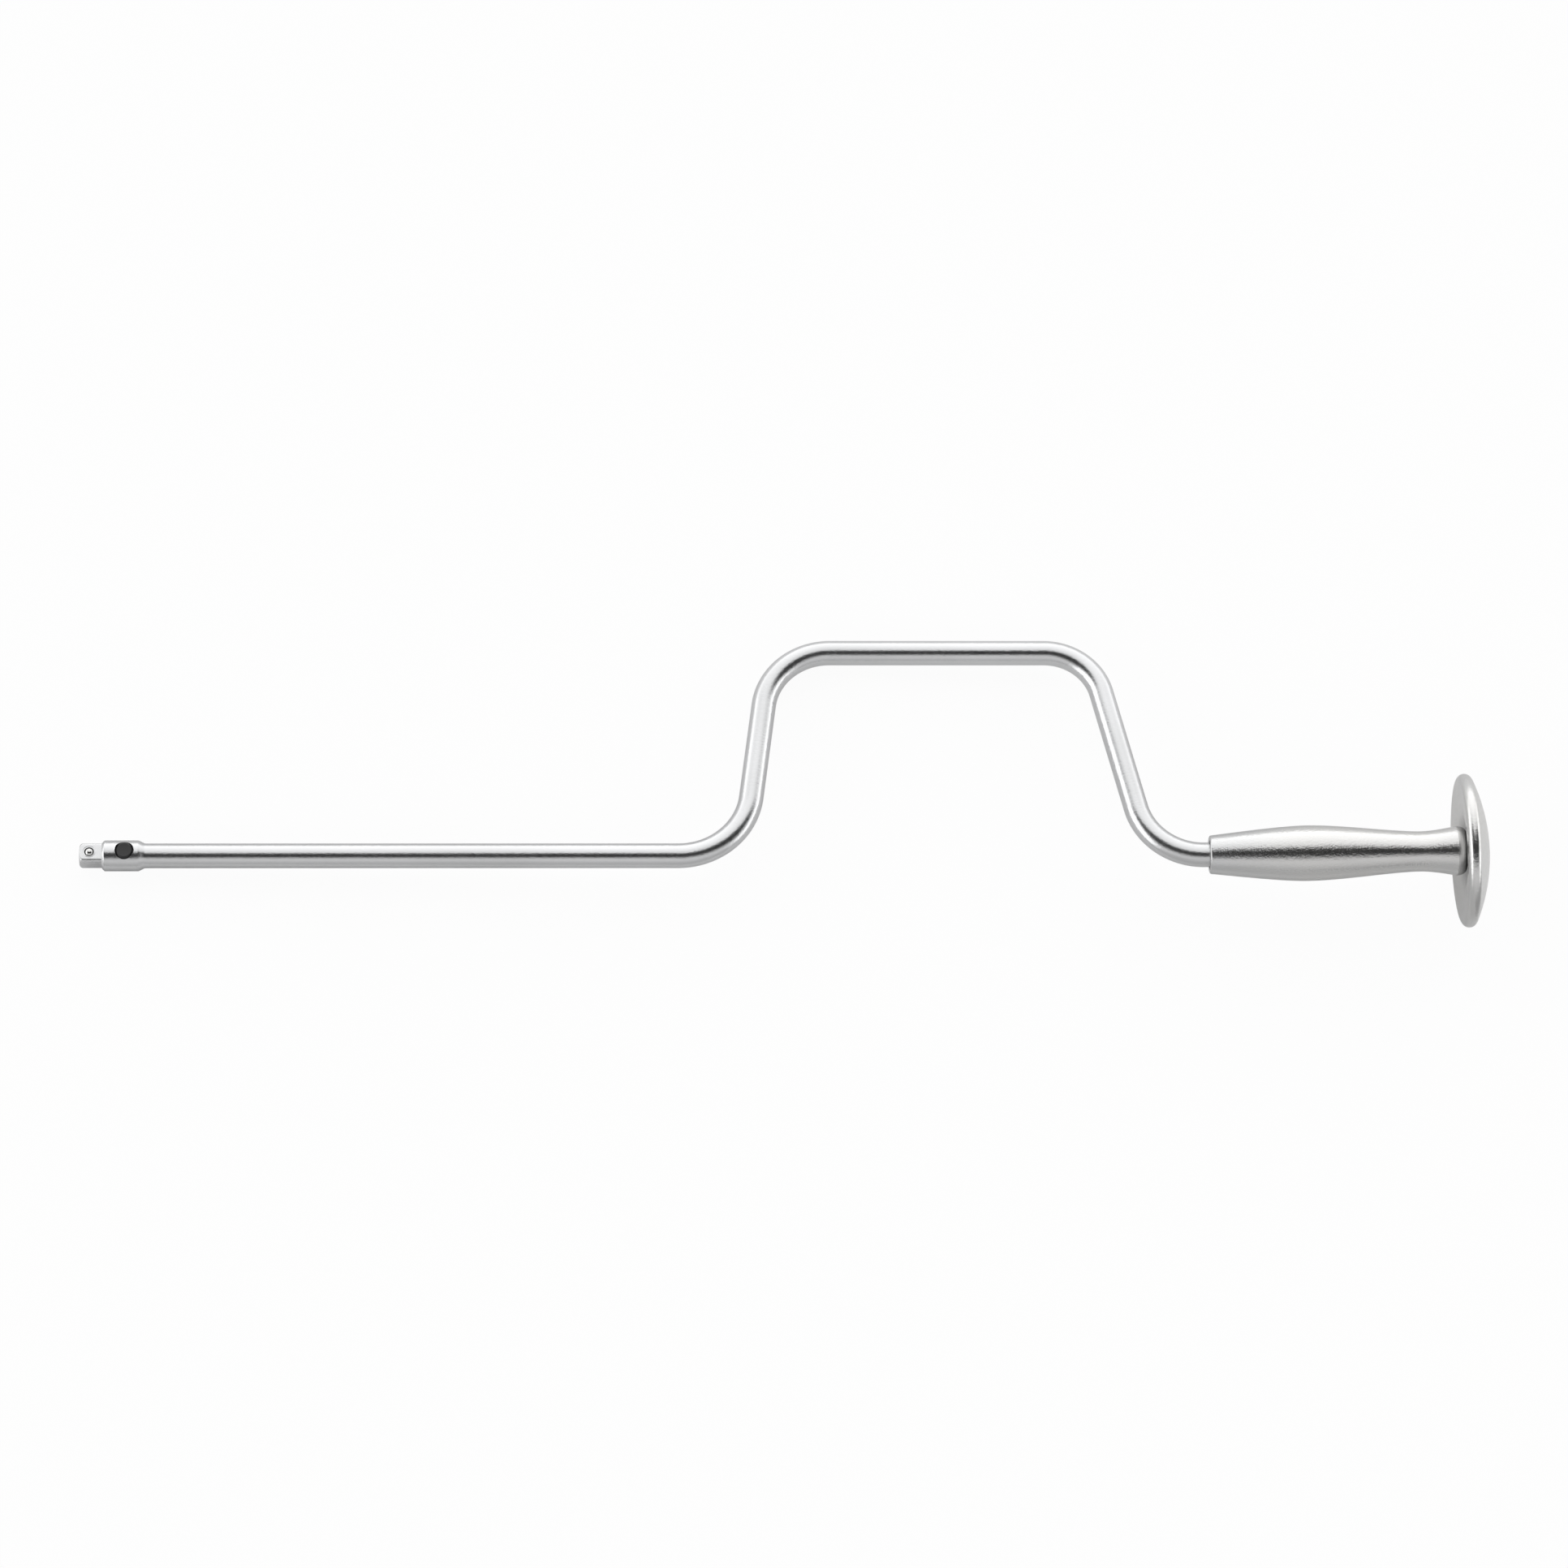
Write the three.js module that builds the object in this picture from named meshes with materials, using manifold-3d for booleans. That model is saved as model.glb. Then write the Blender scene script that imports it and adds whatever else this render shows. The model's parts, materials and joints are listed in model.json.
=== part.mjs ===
// Speed brace: a cranked bar with a square quick-release drive at the front
// and a freely turning grip with a palm disc at the rear.
//
// Tool frame, in millimetres: X runs from the drive tip to the palm disc, Y is the
// side that the crank stands out to, Z is the side of the lock ball and the button.
// At the end the whole tool is laid down on the three places that it rests on.
import * as THREE from 'three';
import { mergeVertices } from 'three/addons/utils/BufferGeometryUtils.js';
import Module from 'manifold-3d';

const wasm = await Module();
wasm.setup();

// Driving dimensions of the square drive and its collar.
const SQUARE = 6.3;
const SQUARE_CORNER = 0.75;
const SQUARE_LENGTH = 7.3;
const TIP_ROUND = 1.4;
const COLLAR_RISE = 1.0;
const COLLAR_CHAMFER = 0.75;
const COLLAR_LENGTH = 11.6;
const COLLAR_TAPER = 2.0;
const COLLAR_SINK = 0.4;

// Driving dimensions of the bar and its crank.
const BAR_RADIUS = 4.0;
const SHAFT_LENGTH = 214.6;
const THROW = 73.4;
const FRONT_ARM_SLANT = 9.3;
const CRANK_SPAN = 104.6;
const REAR_ARM_SLANT = 18.0;
const FRONT_LOWER_BEND = 24.0;
const FRONT_UPPER_BEND = 21.8;
const REAR_UPPER_BEND = 19.2;
const REAR_LOWER_BEND = 22.2;
const STEM_LENGTH = 88.7;
const STEM_LEAN_DEGREES = 1.0;

// Driving dimensions of the lock: ball, rod, button and spring.
const BALL_RADIUS = 1.5;
const BALL_FROM_TIP = 3.25;
const BALL_SHOW = 0.7;
const BALL_LIP = 0.08;
const BALL_LIP_DEPTH = 0.15;
const ROD_RADIUS = 1.45;
const ROD_TAIL = 2.0;
const PLUG_LENGTH = 1.0;
const BUTTON_FROM_TIP = 14.6;
const BUTTON_RADIUS = 2.85;
const BUTTON_DIP = 0.3;
const BUTTON_BEVEL = 0.4;
const BUTTON_TRAVEL = 1.4;
const FLANGE_RISE = 0.2;
const FLANGE_THICK = 0.6;
const BLADE_THICK = 1.4;
const BLADE_DROP = 1.6;
const WEDGE_SHIFT = 0.6;
const SPRING_LENGTH = 10.0;
const SPRING_WIRE_RADIUS = 0.25;
const SPRING_TURNS = 8;

// Driving dimensions of the grip sleeve, along the stem and as walls over its bore.
const SLEEVE_START = 19.1;
const SLEEVE_LENGTH = 83.4;
const SLEEVE_BELLY_AT = 31.7;
const SLEEVE_WAIST_AT = 68.6;
const SLEEVE_FLARE_AT = 80.3;
const SLEEVE_FRONT_WALL = 1.12;
const SLEEVE_BELLY_WALL = 3.86;
const SLEEVE_WAIST_WALL = 1.37;
const SLEEVE_FLARE_WALL = 2.86;
const SLEEVE_END_WALL = 1.02;
const SLEEVE_FRONT_ROUND = 0.7;

// Driving dimensions of the bearings inside the sleeve.
const BUSH_WALL = 0.95;
const BUSH_LENGTH = 12.0;
const FRONT_BUSH_INSET = 1.2;
const WASHER_THICK = 0.8;
const RING_THICK = 1.0;
const RING_HEIGHT = 1.2;
const RING_OPENING_DEGREES = 60;
const GROOVE_DEPTH = 0.6;
const THRUST_BALL_RADIUS = 2.5;
const RING_TO_STEM_END = 3.0;

// Driving dimensions of the palm disc.
const DISC_RADIUS = 24.95;
const DISC_RIM_ROUND = 2.25;
const DISC_THICK = 7.0;
const DOME_RADIUS = 58.0;
const DISC_HUB_RADIUS = 5.7;
const DISC_HUB_RISE = 0.4;
const DISC_DISH_SWEEP = 16.0;
const SPIGOT_NOSE = 1.2;

// Clearances: running fits, pressed fits, and faces that seat on each other.
const RUN_GAP = 0.1;
const PRESS_GAP = 0.1;
const SEAT_GAP = 0.3;
const RING_SIDE_GAP = 0.1;

// Ratios of the lock: rod travel per button travel is one, because the wedge is at 45 degrees.
const RAMP_SLOPE = 0.5;

// How the grip's curves leave and reach their ends: the handles' shares of a curve's length, and of its rise.
const CURVE_LEAVES = 1 / 3;
const CURVE_REACHES = 1 / 4;
const SWELL_LEAVES_RISING = 0.42;
const FLARE_REACHED_RISING = 1 / 3;
const REAR_ROUND_LEAVES = 1 / 2;
const REAR_ROUND_RISES = 1 / 10;

// Facet counts.
const BAR_SIDES = 32;
const TURNED_SIDES = 40;
const DISC_SIDES = 48;
const SMALL_SIDES = 24;
const BEND_STEPS = 12;
const CURVE_STEPS = 9;
const ROUND_STEPS = 5;
const COIL_STEPS = 8;
const WIRE_SIDES = 5;
const WELD = 1e-5;
const SETTLE_PASSES = 12;

// Sizes that follow from the driving dimensions.
const CUT_MARGIN = 1.0;
const COLLAR_RADIUS = BAR_RADIUS + COLLAR_RISE;
const COLLAR_END = SQUARE_LENGTH + COLLAR_LENGTH;
const HALF_SQUARE = SQUARE / 2;
const SQUARE_REACH = SQUARE * Math.SQRT1_2 - SQUARE_CORNER * (Math.SQRT2 - 1);
const ROD_BORE = ROD_RADIUS + RUN_GAP;
const ROD_START = PLUG_LENGTH + SEAT_GAP;
const WEDGE_GAP = RUN_GAP * Math.SQRT2;
const ROD_END = BUTTON_FROM_TIP + WEDGE_SHIFT + ROD_RADIUS + WEDGE_GAP + ROD_TAIL;
const SPRING_START = ROD_END + SEAT_GAP;
const ROD_BORE_END = SPRING_START + SPRING_LENGTH + SEAT_GAP;
const BALL_HEIGHT = HALF_SQUARE + BALL_SHOW - BALL_RADIUS;
const BUTTON_FACE = COLLAR_RADIUS - BUTTON_DIP;
const FLANGE_BOTTOM = ROD_RADIUS + BUTTON_TRAVEL + RUN_GAP;
const FLANGE_TOP = FLANGE_BOTTOM + FLANGE_THICK;
const FLANGE_RADIUS = BUTTON_RADIUS + FLANGE_RISE;
const BUTTON_MOUTH = BUTTON_RADIUS + 2 * RUN_GAP;
const BUTTON_HOLE = FLANGE_RADIUS + RUN_GAP;
const BUTTON_FLOOR = -(BLADE_DROP + BUTTON_TRAVEL + SEAT_GAP);
const STEM_LEAN = THREE.MathUtils.degToRad(STEM_LEAN_DEGREES);
const BUSH_BORE = BAR_RADIUS + RUN_GAP;
const BUSH_RADIUS = BUSH_BORE + BUSH_WALL;
const SLEEVE_BORE = BUSH_RADIUS + PRESS_GAP;
const SLEEVE_END = SLEEVE_START + SLEEVE_LENGTH;
const RING_START = STEM_LENGTH - RING_TO_STEM_END - RING_THICK;
const WASHER_START = RING_START - SEAT_GAP - WASHER_THICK;
const REAR_BUSH_START = WASHER_START - SEAT_GAP - BUSH_LENGTH;
const THRUST_BALL_AT = STEM_LENGTH + RUN_GAP + THRUST_BALL_RADIUS;
const SPIGOT_START = STEM_LENGTH + SPIGOT_NOSE;
const DISC_HUB = SLEEVE_END + SEAT_GAP;
const DOME_APEX = DISC_HUB + DISC_THICK;
const LAST_CORNER = SHAFT_LENGTH + FRONT_ARM_SLANT + CRANK_SPAN + REAR_ARM_SLANT;

// Finishes.
const CHROME = new THREE.MeshStandardMaterial({ color: 0xc9cbcd, roughness: 0.3, metalness: 1.0 });
const BRIGHT_STEEL = new THREE.MeshStandardMaterial({ color: 0xd6d6d4, roughness: 0.12, metalness: 1.0 });
const SPRING_STEEL = new THREE.MeshStandardMaterial({ color: 0x8d8f92, roughness: 0.35, metalness: 1.0 });
const BUSH_BRONZE = new THREE.MeshStandardMaterial({ color: 0xb08a4a, roughness: 0.45, metalness: 1.0 });
const BLACK_BUTTON = new THREE.MeshStandardMaterial({ color: 0x232325, roughness: 0.5, metalness: 0.1 });

// Signed volume of an indexed triangle list, negative where it is inside out.
function signedVolume(positions, triangles) {
  const corner = [new THREE.Vector3(), new THREE.Vector3(), new THREE.Vector3()];
  let volume = 0;
  for (let i = 0; i < triangles.length; i += 3) {
    corner.forEach((point, k) => point.fromArray(positions, 3 * triangles[i + k]));
    volume += corner[0].dot(corner[1].cross(corner[2])) / 6;
  }
  return volume;
}

// A solid from a closed three.js geometry, welded and turned right side out.
function toSolid(geometry) {
  const bare = geometry.clone();
  bare.deleteAttribute('normal');
  bare.deleteAttribute('uv');
  const welded = mergeVertices(bare, WELD);
  const positions = welded.getAttribute('position').array;
  const index = welded.getIndex().array;
  const triangles = [];
  for (let i = 0; i < index.length; i += 3) {
    const [a, b, c] = [index[i], index[i + 1], index[i + 2]];
    if (a !== b && b !== c && c !== a) {
      triangles.push(a, b, c);
    }
  }
  if (signedVolume(positions, triangles) < 0) {
    triangles.reverse();
  }
  return new wasm.Manifold(new wasm.Mesh({
    numProp: 3,
    vertProperties: new Float32Array(positions),
    triVerts: new Uint32Array(triangles),
  }));
}

function toGeometry(solid) {
  const mesh = solid.getMesh();
  const geometry = new THREE.BufferGeometry();
  geometry.setAttribute('position', new THREE.BufferAttribute(mesh.vertProperties, 3));
  geometry.setIndex(new THREE.BufferAttribute(mesh.triVerts, 1));
  geometry.computeVertexNormals();
  return geometry;
}

// Profile points are [along the axis, radius]; the axis of the turned shape is X.
function turned(profile, sides) {
  const points = profile.map(([along, radius]) => new THREE.Vector2(radius, along));
  return new THREE.LatheGeometry(points, sides).rotateZ(-Math.PI / 2);
}

// The same, with Z as the axis and the axis through (x, 0).
function turnedUp(profile, sides, x) {
  const points = profile.map(([along, radius]) => new THREE.Vector2(radius, along));
  return new THREE.LatheGeometry(points, sides).rotateX(Math.PI / 2).translate(x, 0, 0);
}

// A tube or ring about X, from one place to another.
function ring(from, to, inner, outer, sides) {
  return turned([[from, inner], [from, outer], [to, outer], [to, inner], [from, inner]], sides);
}

function rod(from, to, radius, sides) {
  return turned([[from, 0], [from, radius], [to, radius], [to, 0]], sides);
}

// Points of a curve in the profile plane, without its first point.
function along(curve, steps) {
  return curve.getPoints(steps).slice(1).map((point) => [point.x, point.y]);
}

function bezier(start, startHandle, endHandle, end) {
  const points = [start, startHandle, endHandle, end].map(([x, y]) => new THREE.Vector2(x, y));
  return new THREE.CubicBezierCurve(...points);
}

function arc(centre, radius, fromAngle, toAngle) {
  return new THREE.EllipseCurve(centre[0], centre[1], radius, radius, fromAngle, toAngle, toAngle < fromAngle);
}

// An outline in the XZ plane, given as [x, z] points, made into a slab across Y.
function slabAcross(outline, thickness) {
  const shape = new THREE.Shape(outline.map(([x, z]) => new THREE.Vector2(x, z)));
  const geometry = new THREE.ExtrudeGeometry(shape, { depth: thickness, bevelEnabled: false });
  return geometry.translate(0, 0, -thickness / 2).rotateX(Math.PI / 2);
}

// The bar's centre line as stations: the ends of the straights and even steps round each bend.
class BarLine extends THREE.Curve {
  constructor(stations) {
    super();
    this.stations = stations;
  }

  station(u) {
    return this.stations[Math.round(u * (this.stations.length - 1))];
  }

  getPointAt(u, target = new THREE.Vector3()) {
    return target.copy(this.station(u).point);
  }

  getTangentAt(u, target = new THREE.Vector3()) {
    return target.copy(this.station(u).tangent);
  }
}

function stemDirection() {
  return new THREE.Vector3(Math.cos(STEM_LEAN), Math.sin(STEM_LEAN), 0);
}

function lastCorner() {
  return new THREE.Vector3(LAST_CORNER, 0, 0);
}

// Stations round one bend between two straights that meet in a corner.
function bendStations(before, corner, after, radius) {
  const incoming = corner.clone().sub(before).normalize();
  const outgoing = after.clone().sub(corner).normalize();
  const turn = incoming.angleTo(outgoing);
  const axis = incoming.clone().cross(outgoing).normalize();
  const start = corner.clone().addScaledVector(incoming, -radius * Math.tan(turn / 2));
  const inward = axis.clone().cross(incoming);
  const centre = start.clone().addScaledVector(inward, radius);
  return Array.from({ length: BEND_STEPS + 1 }, (_, step) => {
    const angle = (turn * step) / BEND_STEPS;
    const spoke = start.clone().sub(centre).applyAxisAngle(axis, angle);
    return { point: centre.clone().add(spoke), tangent: incoming.clone().applyAxisAngle(axis, angle) };
  });
}

function barStations() {
  const start = new THREE.Vector3(COLLAR_END - COLLAR_LENGTH / 2, 0, 0);
  const stemEnd = lastCorner().addScaledVector(stemDirection(), STEM_LENGTH);
  const rearTop = LAST_CORNER - REAR_ARM_SLANT;
  const corners = [
    start,
    new THREE.Vector3(SHAFT_LENGTH, 0, 0),
    new THREE.Vector3(SHAFT_LENGTH + FRONT_ARM_SLANT, THROW, 0),
    new THREE.Vector3(rearTop, THROW, 0),
    lastCorner(),
    stemEnd,
  ];
  const radii = [FRONT_LOWER_BEND, FRONT_UPPER_BEND, REAR_UPPER_BEND, REAR_LOWER_BEND];
  const bends = radii.flatMap((radius, i) => bendStations(corners[i], corners[i + 1], corners[i + 2], radius));
  return [
    { point: start, tangent: new THREE.Vector3(1, 0, 0) },
    ...bends,
    { point: stemEnd, tangent: stemDirection() },
  ];
}

// A regular polygon as the bar's section.
function barSection() {
  const points = Array.from({ length: BAR_SIDES }, (_, i) => {
    const angle = (2 * Math.PI * i) / BAR_SIDES;
    return new THREE.Vector2(BAR_RADIUS * Math.cos(angle), BAR_RADIUS * Math.sin(angle));
  });
  return new THREE.Shape(points);
}

function bentBar() {
  const stations = barStations();
  const options = { steps: stations.length - 1, extrudePath: new BarLine(stations), bevelEnabled: false };
  return new THREE.ExtrudeGeometry(barSection(), options);
}

// The square's section with rounded corners.
function squareSection() {
  const flat = HALF_SQUARE - SQUARE_CORNER;
  const shape = new THREE.Shape();
  shape.moveTo(HALF_SQUARE, -flat);
  [0, 1, 2, 3].forEach((quarter) => {
    const angle = (quarter * Math.PI) / 2;
    const centre = new THREE.Vector2(flat, flat).rotateAround(new THREE.Vector2(), angle);
    shape.absarc(centre.x, centre.y, SQUARE_CORNER, angle, angle + Math.PI / 2, false);
  });
  return shape;
}

function squareTang() {
  const depth = SQUARE_LENGTH + COLLAR_LENGTH / 2;
  const options = { depth, bevelEnabled: false, curveSegments: ROUND_STEPS };
  return new THREE.ExtrudeGeometry(squareSection(), options).rotateY(Math.PI / 2);
}

// The rounded nose that takes the square's corners off at the tip.
function tipEnvelope() {
  const rounding = arc([TIP_ROUND, SQUARE_REACH - TIP_ROUND], TIP_ROUND, Math.PI, Math.PI / 2);
  return turned([
    [0, 0],
    [0, SQUARE_REACH - TIP_ROUND],
    ...along(rounding, ROUND_STEPS),
    [TIP_ROUND, SQUARE_REACH + CUT_MARGIN],
    [COLLAR_END, SQUARE_REACH + CUT_MARGIN],
    [COLLAR_END, 0],
  ], TURNED_SIDES);
}

// The collar, with its rear taper carried on a little under the bar's surface.
function collar() {
  const sunkEnd = COLLAR_END + COLLAR_TAPER * (1 + COLLAR_SINK / COLLAR_RISE);
  return turned([
    [SQUARE_LENGTH, 0],
    [SQUARE_LENGTH, COLLAR_RADIUS - COLLAR_CHAMFER],
    [SQUARE_LENGTH + COLLAR_CHAMFER, COLLAR_RADIUS],
    [COLLAR_END, COLLAR_RADIUS],
    [sunkEnd, BAR_RADIUS - COLLAR_SINK],
    [sunkEnd, 0],
  ], TURNED_SIDES);
}

// The ball's hole, narrowed at its mouth so that the ball stays in.
function ballHole() {
  const hole = BALL_RADIUS + RUN_GAP;
  const mouth = BALL_RADIUS - BALL_LIP;
  const lipBottom = HALF_SQUARE - BALL_LIP_DEPTH;
  return turnedUp([
    [0, 0],
    [0, hole],
    [lipBottom, hole],
    [lipBottom, mouth],
    [HALF_SQUARE + CUT_MARGIN, mouth],
    [HALF_SQUARE + CUT_MARGIN, 0],
  ], SMALL_SIDES, BALL_FROM_TIP);
}

// The button's hole, narrowed at its mouth so that the button's flange stays in.
function buttonHole() {
  const lipBottom = FLANGE_TOP + RUN_GAP;
  return turnedUp([
    [BUTTON_FLOOR, 0],
    [BUTTON_FLOOR, BUTTON_HOLE],
    [lipBottom, BUTTON_HOLE],
    [lipBottom, BUTTON_MOUTH],
    [COLLAR_RADIUS + CUT_MARGIN, BUTTON_MOUTH],
    [COLLAR_RADIUS + CUT_MARGIN, 0],
  ], BAR_SIDES, BUTTON_FROM_TIP);
}

// The groove for the retaining ring, placed on the leaning stem.
function ringGroove() {
  const from = RING_START - RING_SIDE_GAP;
  const to = RING_START + RING_THICK + RING_SIDE_GAP;
  const groove = ring(from, to, BAR_RADIUS - GROOVE_DEPTH, BAR_RADIUS + CUT_MARGIN, BAR_SIDES);
  return groove.rotateZ(STEM_LEAN).translate(LAST_CORNER, 0, 0);
}

function crankBar() {
  const tang = toSolid(squareTang()).intersect(toSolid(tipEnvelope()));
  const bar = tang.add(toSolid(collar())).add(toSolid(bentBar()));
  const rodBore = rod(-CUT_MARGIN, ROD_BORE_END, ROD_BORE, SMALL_SIDES);
  const cuts = [rodBore, ballHole(), buttonHole(), ringGroove()];
  return toGeometry(cuts.reduce((solid, cut) => solid.subtract(toSolid(cut)), bar));
}

function lockBall() {
  return toGeometry(toSolid(new THREE.SphereGeometry(BALL_RADIUS, SMALL_SIDES, SMALL_SIDES / 2)));
}

// What is cut away above the rod's front ramp, which the ball lies on.
function rampCut() {
  const steep = Math.atan(RAMP_SLOPE);
  const reach = BALL_RADIUS + RUN_GAP;
  const underBall = [BALL_FROM_TIP + reach * Math.sin(steep), BALL_HEIGHT - reach * Math.cos(steep)];
  const rampAt = (x) => underBall[1] + RAMP_SLOPE * (x - underBall[0]);
  const top = ROD_RADIUS + CUT_MARGIN;
  const front = ROD_START - CUT_MARGIN;
  const rear = underBall[0] + (top - underBall[1]) / RAMP_SLOPE;
  return slabAcross([[front, rampAt(front)], [rear, top], [front, top]], 2 * top);
}

// The window for the button's wedge; its rear face is at 45 degrees like the wedge.
function rodWindow() {
  const front = BUTTON_FROM_TIP - BUTTON_RADIUS - BUTTON_TRAVEL - RUN_GAP;
  const top = ROD_RADIUS + CUT_MARGIN;
  const rear = BUTTON_FROM_TIP + WEDGE_SHIFT + WEDGE_GAP;
  const outline = [[front, -top], [rear - top, -top], [rear + top, top], [front, top]];
  return slabAcross(outline, BLADE_THICK + 2 * RUN_GAP);
}

function lockRod() {
  const bar = toSolid(rod(ROD_START, ROD_END, ROD_RADIUS, SMALL_SIDES));
  return toGeometry(bar.subtract(toSolid(rampCut())).subtract(toSolid(rodWindow())));
}

// A round wire wound about X, with closed flat ends.
function springCoil() {
  const coilRadius = ROD_BORE - 2 * RUN_GAP - SPRING_WIRE_RADIUS;
  const rise = SPRING_LENGTH - 2 * SPRING_WIRE_RADIUS;
  const rings = SPRING_TURNS * COIL_STEPS;
  const positions = [];
  const centres = [];
  for (let i = 0; i <= rings; i += 1) {
    const angle = (2 * Math.PI * i) / COIL_STEPS;
    const outward = new THREE.Vector3(0, Math.cos(angle), Math.sin(angle));
    const x = SPRING_START + SPRING_WIRE_RADIUS + (rise * i) / rings;
    const centre = outward.clone().multiplyScalar(coilRadius).setX(x);
    centres.push(centre);
    for (let k = 0; k < WIRE_SIDES; k += 1) {
      const around = (2 * Math.PI * k) / WIRE_SIDES;
      const point = centre.clone().addScaledVector(outward, SPRING_WIRE_RADIUS * Math.cos(around));
      point.x += SPRING_WIRE_RADIUS * Math.sin(around);
      positions.push(...point.toArray());
    }
  }
  const geometry = new THREE.BufferGeometry();
  geometry.setAttribute('position', new THREE.Float32BufferAttribute(positions, 3));
  geometry.setIndex(coilTriangles(rings));
  reportCoilGap(centres);
  return geometry;
}

function coilTriangles(rings) {
  const triangles = [];
  for (let i = 0; i < rings; i += 1) {
    for (let k = 0; k < WIRE_SIDES; k += 1) {
      const a = i * WIRE_SIDES + k;
      const b = i * WIRE_SIDES + ((k + 1) % WIRE_SIDES);
      triangles.push(a, b, a + WIRE_SIDES, b, b + WIRE_SIDES, a + WIRE_SIDES);
    }
  }
  const last = rings * WIRE_SIDES;
  for (let k = 1; k < WIRE_SIDES - 1; k += 1) {
    triangles.push(0, k + 1, k, last, last + k, last + k + 1);
  }
  return triangles;
}

// Prints the least gap between one turn of the coil and the next.
function reportCoilGap(centres) {
  let least = Infinity;
  for (let i = 0; i < centres.length; i += 1) {
    for (let j = i + COIL_STEPS / 2; j < centres.length; j += 1) {
      least = Math.min(least, centres[i].distanceTo(centres[j]) - 2 * SPRING_WIRE_RADIUS);
    }
  }
  console.log(`least gap between the spring's turns: ${least.toFixed(2)} mm`);
}

function rodSpring() {
  return toGeometry(toSolid(springCoil()));
}

function tipPlug() {
  return toGeometry(toSolid(rod(0, PLUG_LENGTH, ROD_BORE - PRESS_GAP, SMALL_SIDES)));
}

// The button: a bevelled head, a flange under the mouth's lip, and the wedge blade.
function releaseButton() {
  const cap = turnedUp([
    [FLANGE_BOTTOM, 0],
    [FLANGE_BOTTOM, FLANGE_RADIUS],
    [FLANGE_TOP, FLANGE_RADIUS],
    [FLANGE_TOP, BUTTON_RADIUS],
    [BUTTON_FACE - BUTTON_BEVEL, BUTTON_RADIUS],
    [BUTTON_FACE, BUTTON_RADIUS - BUTTON_BEVEL],
    [BUTTON_FACE, 0],
  ], BAR_SIDES, 0);
  const guide = turnedUp([
    [-BLADE_DROP, 0],
    [-BLADE_DROP, BUTTON_RADIUS],
    [FLANGE_TOP, BUTTON_RADIUS],
    [FLANGE_TOP, 0],
  ], BAR_SIDES, 0);
  const reach = BUTTON_RADIUS + CUT_MARGIN;
  const rearTop = FLANGE_TOP + WEDGE_SHIFT;
  const outline = [
    [-reach, -BLADE_DROP - CUT_MARGIN],
    [WEDGE_SHIFT - BLADE_DROP - CUT_MARGIN, -BLADE_DROP - CUT_MARGIN],
    [rearTop, FLANGE_TOP],
    [-reach, FLANGE_TOP],
  ];
  const blade = toSolid(slabAcross(outline, BLADE_THICK)).intersect(toSolid(guide));
  return toGeometry(toSolid(cap).add(blade));
}

// The grip's outer line, front to rear: a long swell, a waist and a flared, rounded end.
function sleeveOutline() {
  const front = SLEEVE_BORE + SLEEVE_FRONT_WALL;
  const belly = SLEEVE_BORE + SLEEVE_BELLY_WALL;
  const waist = SLEEVE_BORE + SLEEVE_WAIST_WALL;
  const flare = SLEEVE_BORE + SLEEVE_FLARE_WALL;
  const end = SLEEVE_BORE + SLEEVE_END_WALL;
  const at = (distance) => SLEEVE_START + distance;
  const toBelly = SLEEVE_BELLY_AT - SLEEVE_FRONT_ROUND;
  const toWaist = SLEEVE_WAIST_AT - SLEEVE_BELLY_AT;
  const toFlare = SLEEVE_FLARE_AT - SLEEVE_WAIST_AT;
  const toEnd = SLEEVE_LENGTH - SLEEVE_FLARE_AT;
  const swellStart = [at(SLEEVE_FRONT_ROUND), front];
  const bellyPoint = [at(SLEEVE_BELLY_AT), belly];
  const waistPoint = [at(SLEEVE_WAIST_AT), waist];
  const flarePoint = [at(SLEEVE_FLARE_AT), flare];
  const frontRound = arc([at(SLEEVE_FRONT_ROUND), front - SLEEVE_FRONT_ROUND], SLEEVE_FRONT_ROUND,
    Math.PI, Math.PI / 2);
  const swell = bezier(
    swellStart,
    [at(SLEEVE_FRONT_ROUND + toBelly * CURVE_LEAVES), front + (belly - front) * SWELL_LEAVES_RISING],
    [at(SLEEVE_BELLY_AT - toBelly * CURVE_REACHES), belly],
    bellyPoint,
  );
  const fall = bezier(
    bellyPoint,
    [at(SLEEVE_BELLY_AT + toWaist * CURVE_LEAVES), belly],
    [at(SLEEVE_WAIST_AT - toWaist * CURVE_REACHES), waist],
    waistPoint,
  );
  const rise = bezier(
    waistPoint,
    [at(SLEEVE_WAIST_AT + toFlare * CURVE_LEAVES), waist],
    [at(SLEEVE_FLARE_AT - toFlare * CURVE_REACHES), flare - (flare - waist) * FLARE_REACHED_RISING],
    flarePoint,
  );
  const rearRound = bezier(
    flarePoint,
    [at(SLEEVE_FLARE_AT + toEnd * REAR_ROUND_LEAVES), flare + toEnd * REAR_ROUND_RISES],
    [at(SLEEVE_LENGTH), flare],
    [at(SLEEVE_LENGTH), end],
  );
  return [
    [at(0), front - SLEEVE_FRONT_ROUND],
    ...along(frontRound, ROUND_STEPS),
    ...along(swell, CURVE_STEPS),
    ...along(fall, CURVE_STEPS),
    ...along(rise, ROUND_STEPS),
    ...along(rearRound, ROUND_STEPS),
  ];
}

function gripSleeve() {
  const bore = [[SLEEVE_END, SLEEVE_BORE], [SLEEVE_START, SLEEVE_BORE]];
  const outline = sleeveOutline();
  return toGeometry(toSolid(turned([...outline, ...bore, outline[0]], TURNED_SIDES)));
}

function bush(start) {
  return toGeometry(toSolid(ring(start, start + BUSH_LENGTH, BUSH_BORE, BUSH_RADIUS, BAR_SIDES)));
}

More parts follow.
